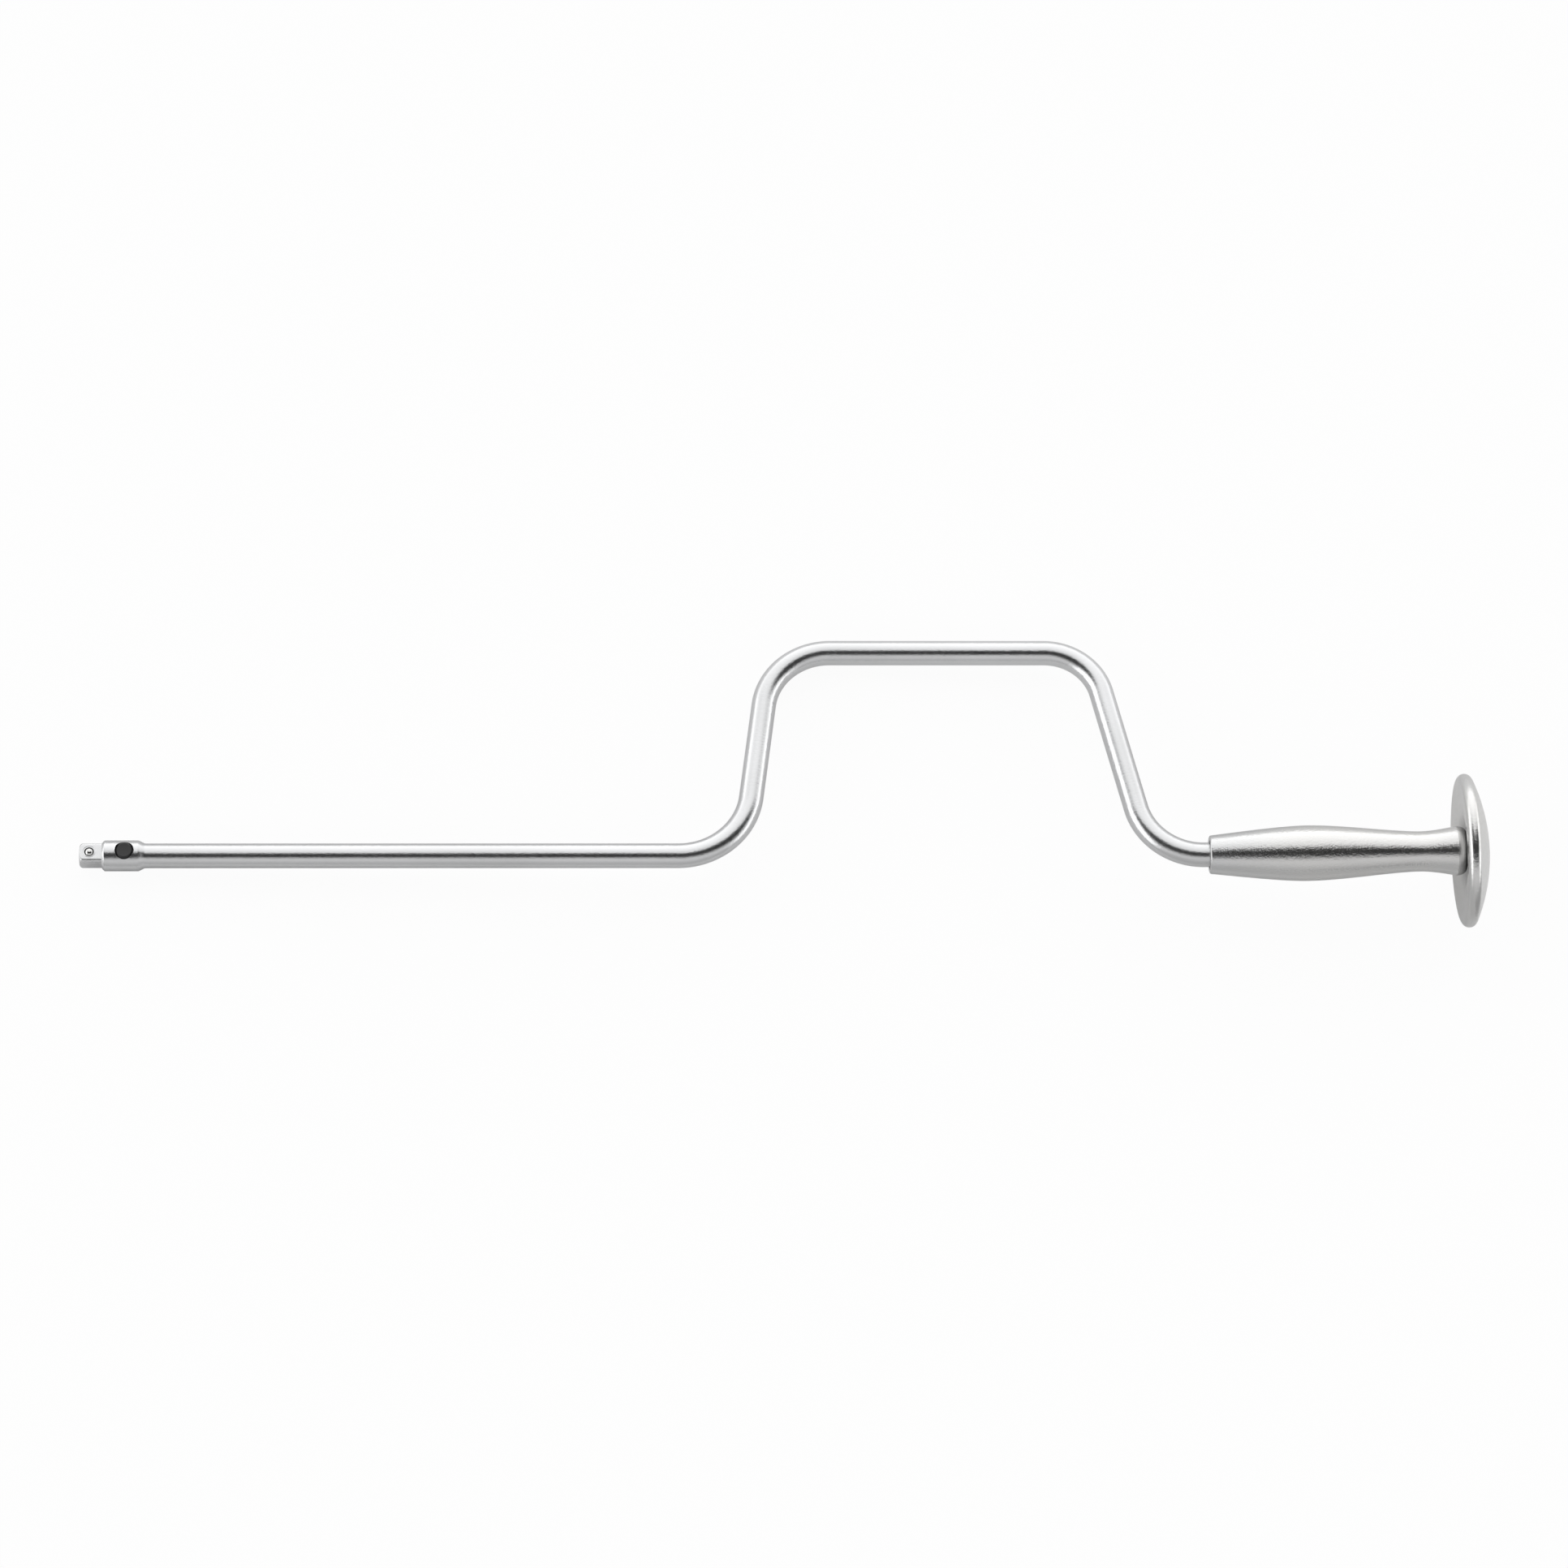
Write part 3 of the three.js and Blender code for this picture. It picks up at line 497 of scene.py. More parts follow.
def collar_profile(drive, bar_radius):
    """The collar's [along, radius] points, from its front face to the bar."""
    edge = drive.collar_chamfer * COLLAR_EDGE
    front = drive.square_length
    top = drive.collar_radius
    chamfer_end = front + drive.collar_chamfer
    start, end = drive.collar_end, drive.collar_end + drive.collar_taper
    level = drive.collar_taper * FALL_LEVEL
    face = [(front, top - drive.collar_chamfer - edge), (front, top - drive.collar_chamfer)]
    chamfer = [(chamfer_end - edge, top - edge), (chamfer_end, top - edge * COLLAR_EDGE_DROP)]
    side = [(chamfer_end + edge, top), (chamfer_end + edge * 2, top), (start - edge, top), (start, top)]
    handles = ((start + level, top), (end - level, bar_radius))
    fall = bezier((start, top), *handles, (end, bar_radius), CURVE_STEPS)
    return face + chamfer + side + fall + [(end + edge, bar_radius)]


def bend(before, corner, after, radius):
    """Stations [point, tangent] round one bend between two straights that meet in a corner."""
    incoming = (corner - before).normalized()
    outgoing = (after - corner).normalized()
    turn = incoming.angle(outgoing)
    axis = incoming.cross(outgoing).normalized()
    start = corner - incoming * radius * math.tan(turn / 2)
    centre = start + axis.cross(incoming) * radius
    stations = []
    for step in range(BEND_STEPS + 1):
        roll = Matrix.Rotation(turn * step / BEND_STEPS, 3, axis)
        stations.append((centre + roll @ (start - centre), roll @ incoming))
    return stations


def bar_stations(bar, start):
    """The bar's centre line from a place on the shaft to the stem's end."""
    corner = last_corner()
    rear_top = corner.x - bar.rear_slant
    stem_end = corner + Vector((*polar(bar.stem, bar.stem_lean), 0))
    corners = [
        Vector((start, 0, 0)),
        Vector((bar.shaft, 0, 0)),
        Vector((bar.shaft + bar.front_slant, bar.throw, 0)),
        Vector((rear_top, bar.throw, 0)),
        corner,
        stem_end,
    ]
    radii = (bar.front_lower_bend, bar.front_upper_bend, bar.rear_upper_bend, bar.rear_lower_bend)
    stations = [(corners[0], Vector((1, 0, 0)))]
    for index, radius in enumerate(radii):
        stations += bend(corners[index], corners[index + 1], corners[index + 2], radius)
    stations.append((stem_end, (stem_end - corner).normalized()))
    return stations


def with_straights(stations, shortest):
    """The same stations with even steps added along each straight."""
    full = [stations[0]]
    for (point, tangent), (after, after_tangent) in zip(stations, stations[1:]):
        if (after - point).length > shortest and tangent.angle(after_tangent) < STRAIGHT:
            for step in range(1, STRAIGHT_STEPS):
                full.append((point.lerp(after, step / STRAIGHT_STEPS), tangent))
        full.append((after, after_tangent))
    return full


def round_ring(point, tangent, radius, sides):
    """A ring of points round one station of the bar, which bends in its own plane."""
    across = Vector((-tangent.y, tangent.x, 0))
    ring = []
    for step in range(sides):
        y, z = polar(radius, FULL_TURN * step / sides)
        ring.append(point + across * y + Vector((0, 0, z)))
    return ring


def bar_rings(drive, bar):
    """All rings of the bar, from the tip to the stem's end."""
    rings = square_rings(drive, bar.sides)
    profile = collar_profile(drive, bar.radius)
    forward = Vector((1, 0, 0))
    for distance, radius in profile:
        rings.append(round_ring(Vector((distance, 0, 0)), forward, radius, bar.sides))
    stations = with_straights(bar_stations(bar, profile[-1][0]), bar.radius * 2)
    for point, tangent in stations[1:]:
        rings.append(round_ring(point, tangent, bar.radius, bar.sides))
    return rings


def bore_tool(drive):
    """What is cut out for the bore along the drive."""
    start, end = -CUT_MARGIN, drive.bore_end
    return turned("bore", [(start, 0), (start, drive.bore), (end, drive.bore), (end, 0)], SMALL_SIDES)


def ball_tools(drive):
    """What is cut out for the ball's hole with its staked mouth, and for the ring that staking leaves."""
    flat = drive.square / 2
    lip = flat - drive.ball_lip
    top = flat + CUT_MARGIN
    wide = drive.ball_radius + BALL_GAP
    mouth = drive.ball_mouth
    opened = mouth + drive.ball_bevel
    hole = [(0, 0), (0, wide), (lip, wide), (lip, mouth), (flat, opened), (top, opened), (top, 0)]
    middle = (flat + STAKE_GROOVE * STAKE_LIFT, drive.stake_radius)
    groove = arc(middle, STAKE_GROOVE, math.pi / 2, math.pi / 2 - FULL_TURN, ROUND_STEPS)[:-1]
    tools = [
        turned("ball_hole", hole, SMALL_SIDES, "Z"),
        turned("stake_ring", groove, SMALL_SIDES, "Z", closed=True),
    ]
    for tool in tools:
        tool.data.transform(Matrix.Translation((drive.ball_at, 0, 0)))
    return tools


def button_tool(drive):
    """What is cut out for the button's well, with a lip over its flange and a countersink."""
    wide = drive.button_radius + WELL_GAP
    mouth = drive.button_mouth
    rim = drive.collar_radius - WELL_COUNTERSINK
    top = rim + CUT_MARGIN
    below = [(WELL_FLOOR, 0), (WELL_FLOOR, wide), (WELL_LIP, wide), (WELL_LIP, mouth)]
    above = [(rim, mouth), (top, mouth + CUT_MARGIN), (top, 0)]
    tool = turned("button_hole", below + above, SMALL_SIDES, "Z")
    tool.data.transform(Matrix.Translation((drive.button_at, 0, 0)))
    return tool


class BRACE_OT_bar(bpy.types.Operator):
    """Makes the bent bar with its square drive, collar and holes"""

    bl_idname = "brace.bar"
    bl_label = "Bar"

    def execute(self, context):
        drive, finishes = settings("drive"), settings("finishes")
        bar = loft("bar", bar_rings(drive, settings("bar")))
        carve(bar, [bore_tool(drive), *ball_tools(drive), button_tool(drive)])
        plate = chrome_material("bar_chrome", finishes.chrome, BAR_GRAIN)
        dress(bar, tool_frame(), "crank", "crank_bar", plate)
        # The walls of the holes get a near-black finish: painted shade in the holes.
        bar.data.materials.append(plain_metal("shaded_hole_wall", finishes.hole_wall_shade, ROUGH_SURFACE))
        self.shade_hole_walls(bar, drive)
        return {"FINISHED"}

    def shade_hole_walls(self, bar, drive):
        """Gives the walls of the holes the bar's second finish: unplated walls, painted near black as
        painted shade in the holes.
        """
        to_tool = tool_frame().inverted()
        ball_reach = drive.ball_mouth + drive.ball_bevel
        flat = drive.square / 2
        for face in bar.data.polygons:
            at = to_tool @ face.center
            by_ball = math.hypot(at.x - drive.ball_at, at.y) < ball_reach and at.z < flat - NEAR
            by_button = math.hypot(at.x - drive.button_at, at.y) < drive.button_mouth + NEAR
            if at.z > 0 and (by_ball or by_button):
                face.material_index = 1


class BRACE_OT_lock(bpy.types.Operator):
    """Makes the lock ball, the button and the plug in the tip"""

    bl_idname = "brace.lock"
    bl_label = "Lock"

    def execute(self, context):
        drive = settings("drive")
        place = tool_frame()
        steel = steel_material("ground_steel", settings("finishes").steel)
        dress(self.ball(drive), place, "ball", "lock_ball", steel)
        dress(self.plug(drive), place, "crank", "tip_plug", steel)
        dress(self.button(drive), place, "button", "release_button", button_material())
        return {"FINISHED"}

    def ball(self, drive):
        """The ball, with the small flat that sockets wear on it."""
        radius = drive.ball_radius
        worn = (radius * math.cos(BALL_WORN), 0)
        profile = [worn] + arc((0, 0), radius, BALL_WORN, math.pi, CURVE_STEPS)
        ball = turned("ball", profile, SMALL_SIDES, "Z")
        ball.data.transform(Matrix.Translation((drive.ball_at, 0, drive.ball_height)))
        return ball

    def plug(self, drive):
        """The plug, with a small chamfer round its front."""
        radius = drive.bore - PLUG_GAP
        end = drive.plug_length
        front = [(0, 0), (0, radius - PLUG_CHAMFER), (PLUG_CHAMFER, radius)]
        return turned("plug", front + [(end, radius), (end, 0)], SMALL_SIDES)

    def button(self, drive):
        """The button: a dished, bevelled head, the flange that keeps it in, and the wedge under it."""
        radius, face = drive.button_radius, drive.button_face
        flange = radius + FLANGE_RISE
        profile = []
        for step in range(ROUND_STEPS + 1):
            part = step / ROUND_STEPS
            profile.append((face - BUTTON_DISH * (1 - part ** 2), (radius - drive.button_bevel) * part))
        profile += [(face - drive.button_bevel * BUTTON_BEVEL_SLOPE, radius), (FLANGE_TOP, radius)]
        profile += [(FLANGE_TOP, flange), (FLANGE_BOTTOM, flange), (FLANGE_BOTTOM, 0)]
        head = turned("button", profile, SMALL_SIDES, "Z")
        carve(head, [self.wedge(radius, (FLANGE_BOTTOM + FLANGE_TOP) / 2)], "UNION")
        head.data.transform(Matrix.Translation((drive.button_at, 0, 0)))
        return head

    def wedge(self, radius, top):
        """The blade under the head; its rear face is at 45 degrees."""
        front = -math.sqrt(radius ** 2 - WEDGE_HALF ** 2)
        rear_top = min(top + WEDGE_SHIFT, -front)
        outline = [
            (front, -WEDGE_DROP),
            (WEDGE_SHIFT - WEDGE_DROP, -WEDGE_DROP),
            (rear_top, rear_top - WEDGE_SHIFT),
            (rear_top, top),
            (front, top),
        ]
        mesh = bmesh.new()
        sides = [[mesh.verts.new((x, y, z)) for x, z in outline] for y in (-WEDGE_HALF, WEDGE_HALF)]
        mesh.faces.new(sides[0])
        mesh.faces.new(reversed(sides[1]))
        for index in range(len(outline)):
            after = (index + 1) % len(outline)
            mesh.faces.new((sides[0][after], sides[0][index], sides[1][index], sides[1][after]))
        return finished_mesh("wedge", mesh)


class BRACE_OT_spring(bpy.types.Operator):
    """Makes the spring behind the lock rod, at the length of the imported spring; the real spring shortens
    as the button goes down.
    """

    bl_idname = "brace.spring"
    bl_label = "Spring"

    def execute(self, context):
        place = tool_frame()
        start, end = self.reach(place.inverted())
        spring = loft("spring", self.coil(settings("drive"), start, end))
        wire = plain_metal("spring_wire", settings("finishes").spring, WIRE_SURFACE)
        finish(spring, place, "rod_spring", wire)
        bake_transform(spring)
        return {"FINISHED"}

    def reach(self, to_tool):
        """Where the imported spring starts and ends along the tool."""
        along = [(to_tool @ vertex.co).x for vertex in frame["nodes"]["rod_spring"].data.vertices]
        return min(along), max(along)

    def coil(self, drive, start, end):
        """Rings of points along the wire, from the rod to the bore's end."""
        steps = drive.spring_turns * COIL_STEPS
        low, high = start + drive.spring_wire, end - drive.spring_wire
        rings = []
        for step in range(steps + 1):
            part = step / steps
            rise = part - COIL_CLOSES * math.sin(FULL_TURN * part) / FULL_TURN
            outward = Vector((0, *polar(1, FULL_TURN * step / COIL_STEPS)))
            middle = outward * drive.spring_coil + Vector((low + (high - low) * rise, 0, 0))
            ring = []
            for side in range(WIRE_SIDES):
                out, along = polar(drive.spring_wire, FULL_TURN * side / WIRE_SIDES)
                ring.append(middle + outward * out + Vector((along, 0, 0)))
            rings.append(ring)
        return rings


class BRACE_OT_sleeve(bpy.types.Operator):
    """Makes the waisted sleeve that turns on the stem"""

    bl_idname = "brace.sleeve"
    bl_label = "Sleeve"

    def execute(self, context):
        sleeve = turned("sleeve", self.outline(settings("grip")), TURNED_SIDES, closed=True)
        plate = chrome_material("sleeve_chrome", settings("finishes").grip_chrome, GRIP_GRAIN)
        dress(sleeve, stem_frame(), "grip", "grip_sleeve", plate)
        return {"FINISHED"}

    def outline(self, grip):
        """The sleeve's outer line from front to rear, and its bore."""
        def at(distance, radius):
            return grip.start + distance, radius

        to_belly = grip.belly_at - grip.front_round
        to_waist = grip.waist_at - grip.belly_at
        to_flare = grip.flare_at - grip.waist_at
        to_end = grip.sleeve - grip.flare_at
        front = at(grip.front_round, grip.front)
        belly = at(grip.belly_at, grip.belly)
        waist = at(grip.waist_at, grip.waist)
        flare = at(grip.flare_at, grip.flare)
        end = at(grip.sleeve, grip.end)
        lip_middle = at(grip.front_round, grip.front - grip.front_round)
        lip = arc(lip_middle, grip.front_round, math.pi, math.pi / 2, ROUND_STEPS)
        swelling = grip.front + (grip.belly - grip.front) * SWELL_LEAVES_RISING
        swell = bezier(front, at(grip.front_round + to_belly * CURVE_LEAVES, swelling),
                       at(grip.belly_at - to_belly * CURVE_REACHES, grip.belly), belly, CURVE_STEPS)
        fall = bezier(belly, at(grip.belly_at + to_waist * CURVE_LEAVES, grip.belly),
                      at(grip.waist_at - to_waist * CURVE_REACHES, grip.waist), waist, CURVE_STEPS)
        flaring = grip.flare - (grip.flare - grip.waist) * FLARE_REACHED_RISING
        rise = bezier(waist, at(grip.waist_at + to_flare * CURVE_LEAVES, grip.waist),
                      at(grip.flare_at - to_flare * CURVE_REACHES, flaring), flare, CURVE_STEPS)
        rounding = grip.end + (grip.flare - grip.end) * REAR_ROUND_LEAVES
        rear = bezier(flare, at(grip.flare_at + to_end * REAR_ROUND_LEAVES, grip.flare),
                      at(grip.sleeve, rounding), end, ROUND_STEPS)
        bore = [at(grip.sleeve, grip.bore), at(SLEEVE_CHAMFER, grip.bore), at(0, grip.bore + SLEEVE_CHAMFER)]
        return lip + swell + fall + rise + rear + bore


class BRACE_OT_disc(bpy.types.Operator):
    """Makes the domed palm disc"""

    bl_idname = "brace.disc"
    bl_label = "Palm disc"

    def execute(self, context):
        grip = settings("grip")
        outline = self.outline(grip, settings("bar"))
        disc = turned("disc", outline, DISC_SIDES)
        self.lean(disc, grip)
        plate = chrome_material("disc_chrome", settings("finishes").grip_chrome, GRIP_GRAIN)
        foot_mark = marks_along(outline)[outline.index(self.foot(grip))]
        # Painted shade round the hub, for the shade in the recess between sleeve and disc.
        self.shaded(plate, foot_mark, foot_mark + grip.recess_shade)
        dress(disc, stem_frame(), "grip", "palm_disc", plate)
        return {"FINISHED"}

    def shaded(self, plate, start, end):
        """Paints shade on the plate round the hub, darkest at the hub and easing out between two places
        along the outline; it stands in for the shade in the recess between sleeve and disc.
        """
        nodes = Nodes(plate.node_tree)
        base = nodes.find("BSDF_PRINCIPLED").inputs["Base Color"]
        unshaded_plate = base.links[0].from_socket
        along = nodes.split(nodes.add("ShaderNodeUVMap", uv_map=AROUND_MAP).outputs["UV"])["Y"]
        dark = opaque(settings("finishes").recess_shade)
        nodes.feed(nodes.mix(nodes.smooth(along, (start, end), (1, 0)), unshaded_plate, dark), base)

    def hub_at(self, grip):
        return grip.start + grip.sleeve + grip.seat_gap

    def foot(self, grip):
        """Where the hub meets the dish, as [along, radius]."""
        return self.hub_at(grip) + grip.hub_rise, grip.hub

    def lean(self, disc, grip):
        """Leans the disc, but not its spigot, away from the crank."""
        hub = self.hub_at(grip)
        spigot = grip.bore - grip.run_gap
        slope = math.tan(grip.disc_lean)
        for vertex in disc.data.vertices:
            at = vertex.co
            if at.x > hub - NEAR or math.hypot(at.y, at.z) > spigot + NEAR:
                at.x -= at.y * slope

    def outline(self, grip, bar):
        """From the ball's pocket over the spigot, the dished inner face and the rim to the dome."""
        hub = self.hub_at(grip)
        apex = hub + grip.disc_thick
        centre = apex - grip.dome
        rim_radius = grip.disc_radius - grip.disc_rim
        inner = grip.dome - grip.disc_rim
        rim_at = centre + math.sqrt(inner ** 2 - rim_radius ** 2)
        dome_turn = math.asin(rim_radius / inner)
        pocket = grip.thrust_ball + grip.run_gap
        pocket_end = bar.stem + grip.run_gap + grip.thrust_ball + pocket
        spigot = grip.bore - grip.run_gap
        nose = bar.stem + grip.spigot_nose
        back = rim_at - grip.disc_rim
        foot = self.foot(grip)
        start = [(pocket_end, 0), (pocket_end, pocket), (nose, pocket), (nose, spigot)]
        start += [(hub, spigot), (hub, grip.hub), foot]
        dish = [self.quadratic(foot, (back, grip.dish_sweep), (back, rim_radius), step / CURVE_STEPS)
                for step in range(1, CURVE_STEPS + 1)]
        rim = arc((rim_at, rim_radius), grip.disc_rim, math.pi, dome_turn, CURVE_STEPS)[1:]
        dome = arc((centre, 0), grip.dome, dome_turn, 0, CURVE_STEPS)[1:-1]
        return start + dish + rim + dome + [(apex, 0)]

    def quadratic(self, a, b, c, t):
        s = 1 - t
        return tuple(s * s * a[k] + 2 * s * t * b[k] + t * t * c[k] for k in (0, 1))


# Finishes.

# Inputs and output of the node that mixes two colours.
MIX_MASK, MIX_FIRST, MIX_SECOND = 0, 6, 7
MIX_RESULT = 2
WHITE = (1, 1, 1, 1)

# The grain of the plate, as fineness and depth.
BAR_GRAIN = (2200, 0.07 * MM)
GRIP_GRAIN = (1700, 0.13 * MM)

# What pits, ripples and ground rings add to the plate's height, and grain and handling to its roughness.
PLATE_PITS = 0.5
PLATE_RIPPLE = 0.3
PLATE_RINGS = 0.3
PLATE_GRAIN_ROUGH = 0.12
PLATE_HANDLED_ROUGH = 0.03
RIPPLE_FINENESS = 900

# Where a noise starts to count as handled, and where it fully does.
HANDLED = (0.4, 0.7)

# Rings left by turning or grinding: their spacing on each finish, and that of the broad rings among them.
PLATE_RING_SPACING = 2500
STEEL_RING_SPACING = 6000
BUTTON_RING_SPACING = 9000
BROAD_RING_SPACING = 260

# The patches of handling on each finish.
PLATE_PATCHES = 22
STEEL_PATCHES = 90
BUTTON_PATCHES = 160

# Metals with a plain grain, as roughness and patches.
STEEL_SURFACE = (0.15, 120)
WIRE_SURFACE = (0.25, 200)
ROUGH_SURFACE = (0.4, 150)
PLAIN_GRAIN = 2600
PLAIN_GRAIN_ROUGH = 0.15

# How dull a handled patch is, over the clean metal; the blackened button polishes instead.
STEEL_DULL = 0.85
PLAIN_DULL = 0.7
BUTTON_POLISHED = 1.8

# Roughness of the ground steel and of the button: what the rings add, and the least.
STEEL_ROUGH = (0.04, 0.04)
BUTTON_ROUGH = (0.15, 0.35)

# Bumps, as strength and depth.
STEEL_BUMP = (0.05, 0.01 * MM)
PLAIN_BUMP = (0.2, 0.02 * MM)
BUTTON_BUMP = (0.12, 0.02 * MM)


def opaque(tint, strength=1):
    """A colour with full cover, as it is or stronger or weaker."""
    return (*(value * strength for value in tint), 1)


class Nodes:
    """A small helper that adds and joins nodes of one tree."""

    def __init__(self, tree):
        self.tree = tree

    def add(self, kind, **values):
        node = self.tree.nodes.new(kind)
        for key, value in values.items():
            setattr(node, key, value)
        return node

    def find(self, kind):
        return next(node for node in self.tree.nodes if node.type == kind)

    def feed(self, value, socket):
        """Joins another socket to this one, or sets its value."""
        if isinstance(value, bpy.types.NodeSocket):
            self.tree.links.new(value, socket)
        else:
            socket.default_value = value

    def math(self, operation, first, second=0, clamp=False):
        node = self.add("ShaderNodeMath", operation=operation, use_clamp=clamp)
        self.feed(first, node.inputs[0])
        self.feed(second, node.inputs[1])
        return node.outputs[0]

    def plus(self, first, second):
        return self.math("ADD", first, second)

    def times(self, first, second):
        return self.math("MULTIPLY", first, second)

    def larger(self, first, second):
        return self.math("MAXIMUM", first, second)

    def split(self, vector):
        node = self.add("ShaderNodeSeparateXYZ")
        self.feed(vector, node.inputs[0])
        return node.outputs

    def smooth(self, value, source, target):
        """A value eased from one range to another."""
        node = self.add("ShaderNodeMapRange", interpolation_type="SMOOTHSTEP")
        node.inputs["From Min"].default_value, node.inputs["From Max"].default_value = source
        node.inputs["To Min"].default_value, node.inputs["To Max"].default_value = target
        self.feed(value, node.inputs["Value"])
        return node.outputs["Result"]

    def noise(self, place, scale, detail=2.0, dimensions="3D"):
        node = self.add("ShaderNodeTexNoise", noise_dimensions=dimensions)
        node.inputs["Detail"].default_value = detail
        self.feed(scale, node.inputs["Scale"])
        self.feed(place, node.inputs["W" if dimensions == "1D" else "Vector"])
        return node.outputs["Fac"]

    def mix(self, mask, first, second):
        """A colour between two, by a mask."""
        node = self.add("ShaderNodeMix", data_type="RGBA")
        for value, index in ((mask, MIX_MASK), (first, MIX_FIRST), (second, MIX_SECOND)):
            self.feed(value, node.inputs[index])
        return node.outputs[MIX_RESULT]

    def mix_shaders(self, mask, first, second):
        node = self.add("ShaderNodeMixShader")
        for socket, value in zip(node.inputs, (mask, first.outputs[0], second.outputs[0])):
            self.feed(value, socket)
        return node.outputs[0]

    def bump(self, height, strength, depth):
        """The normal that a height gives."""
        node = self.add("ShaderNodeBump")
        node.inputs["Strength"].default_value = strength
        node.inputs["Distance"].default_value = depth
        self.feed(height, node.inputs["Height"])
        return node.outputs["Normal"]


def new_group(name, inputs, outputs):
    """An empty shader node group with named value sockets, and its helper."""
    tree = bpy.data.node_groups.new(name, "ShaderNodeTree")
    for label, default in inputs.items():
        socket = tree.interface.new_socket(label, in_out="INPUT", socket_type="NodeSocketFloat")
        socket.default_value = default
    for label in outputs:
        tree.interface.new_socket(label, in_out="OUTPUT", socket_type="NodeSocketFloat")
    nodes = Nodes(tree)
    return nodes, nodes.add("NodeGroupInput").outputs, nodes.add("NodeGroupOutput").inputs


def satin_grain(name):
    """Fine pits and ripples of a satin plate, as a height and a roughness change."""
    inputs = {"Pits": PLATE_PITS, "Ripple": PLATE_RIPPLE, "Fineness": BAR_GRAIN[0]}
    nodes, inside, outside = new_group(name, inputs, ["Height", "Roughness"])
    place = nodes.add("ShaderNodeTexCoord").outputs["Object"]
    pits = nodes.times(nodes.noise(place, inside["Fineness"]), inside["Pits"])
    ripple = nodes.times(nodes.noise(place, RIPPLE_FINENESS, 1), inside["Ripple"])
    nodes.feed(nodes.plus(pits, ripple), outside["Height"])
    change = nodes.math("SUBTRACT", nodes.noise(place, RIPPLE_FINENESS), 0.5)
    nodes.feed(change, outside["Roughness"])
    return nodes.tree


def turning_marks(name):
    """Fine rings round a turned or ground piece, as a height and a tone."""
    nodes, inside, outside = new_group(name, {"Spacing": PLATE_RING_SPACING}, ["Height", "Tone"])
    along = nodes.split(nodes.add("ShaderNodeUVMap", uv_map=AROUND_MAP).outputs["UV"])["Y"]
    fine = nodes.noise(along, inside["Spacing"], 3, "1D")
    broad = nodes.noise(along, BROAD_RING_SPACING, 2, "1D")
    nodes.feed(fine, outside["Height"])
    nodes.feed(nodes.plus(nodes.times(fine, 0.5), nodes.times(broad, 0.5)), outside["Tone"])
    return nodes.tree


def handling(name):
    """Soft patches where hands have been, from clean to dull."""
    nodes, inside, outside = new_group(name, {"Size": PLATE_PATCHES}, ["Mask"])
    place = nodes.add("ShaderNodeTexCoord").outputs["Object"]
    spread = nodes.add("ShaderNodeMapRange")
    spread.inputs["From Min"].default_value, spread.inputs["From Max"].default_value = HANDLED
    nodes.feed(nodes.noise(place, inside["Size"], 4), spread.inputs["Value"])
    nodes.feed(spread.outputs["Result"], outside["Mask"])
    return nodes.tree


def new_material(name):
    material = bpy.data.materials.new(name)
    material.use_nodes = True
    nodes = Nodes(material.node_tree)
    return material, nodes, nodes.find("BSDF_PRINCIPLED")


def place_group(nodes, build, **values):
    """A shared effect, built once, with this material's own values."""
    name = build.__name__
    node = nodes.add("ShaderNodeGroup", node_tree=bpy.data.node_groups.get(name) or build(name))
    for label, value in values.items():
        node.inputs[label].default_value = value
    return node.outputs


def chrome_material(name, tint, grain):
    """Satin chrome plate: fine pits over ground rings, a little duller where it is handled."""
    finishes = settings("finishes")
    fineness, depth = grain
    material, nodes, shader = new_material(name)
    satin = place_group(nodes, satin_grain, Pits=PLATE_PITS, Ripple=PLATE_RIPPLE, Fineness=fineness)
    rings = place_group(nodes, turning_marks, Spacing=PLATE_RING_SPACING)
    handled = place_group(nodes, handling, Size=PLATE_PATCHES)["Mask"]
    shader.inputs["Metallic"].default_value = 1
    shader.inputs["Specular Tint"].default_value = opaque(finishes.chrome_edge)
    base = nodes.mix(handled, opaque(tint), opaque(finishes.chrome_dull))
    nodes.feed(base, shader.inputs["Base Color"])
    rough = nodes.plus(nodes.times(satin["Roughness"], PLATE_GRAIN_ROUGH), finishes.chrome_roughness)
    rough = nodes.math("ADD", rough, nodes.times(handled, PLATE_HANDLED_ROUGH), clamp=True)
    nodes.feed(rough, shader.inputs["Roughness"])
    height = nodes.plus(satin["Height"], nodes.times(rings["Height"], PLATE_RINGS))
    nodes.feed(nodes.bump(height, 1, depth), shader.inputs["Normal"])
    return material


def ringed_material(name, colours, spacing, patches, rough, bump):
    """A turned or ground surface with faint rings and patches of a second colour."""
    material, nodes, shader = new_material(name)
    rings = place_group(nodes, turning_marks, Spacing=spacing)
    handled = place_group(nodes, handling, Size=patches)["Mask"]
    nodes.feed(nodes.mix(handled, *colours), shader.inputs["Base Color"])
    added, least = rough
    nodes.feed(nodes.plus(nodes.times(rings["Tone"], added), least), shader.inputs["Roughness"])
    nodes.feed(nodes.bump(rings["Height"], *bump), shader.inputs["Normal"])
    return material, shader


def steel_material(name, tint):
    """Ground steel with faint rings."""
    colours = (opaque(tint), opaque(tint, STEEL_DULL))
    surface = (STEEL_RING_SPACING, STEEL_PATCHES, STEEL_ROUGH, STEEL_BUMP)
    material, shader = ringed_material(name, colours, *surface)
    shader.inputs["Metallic"].default_value = 1
    return material


def button_material():
    """Blackened steel: near black, satin, with faint turned rings and polished patches."""
    tint = settings("finishes").button
    colours = (opaque(tint), opaque(tint, BUTTON_POLISHED))
    surface = (BUTTON_RING_SPACING, BUTTON_PATCHES, BUTTON_ROUGH, BUTTON_BUMP)
    return ringed_material("blackened_button", colours, *surface)[0]


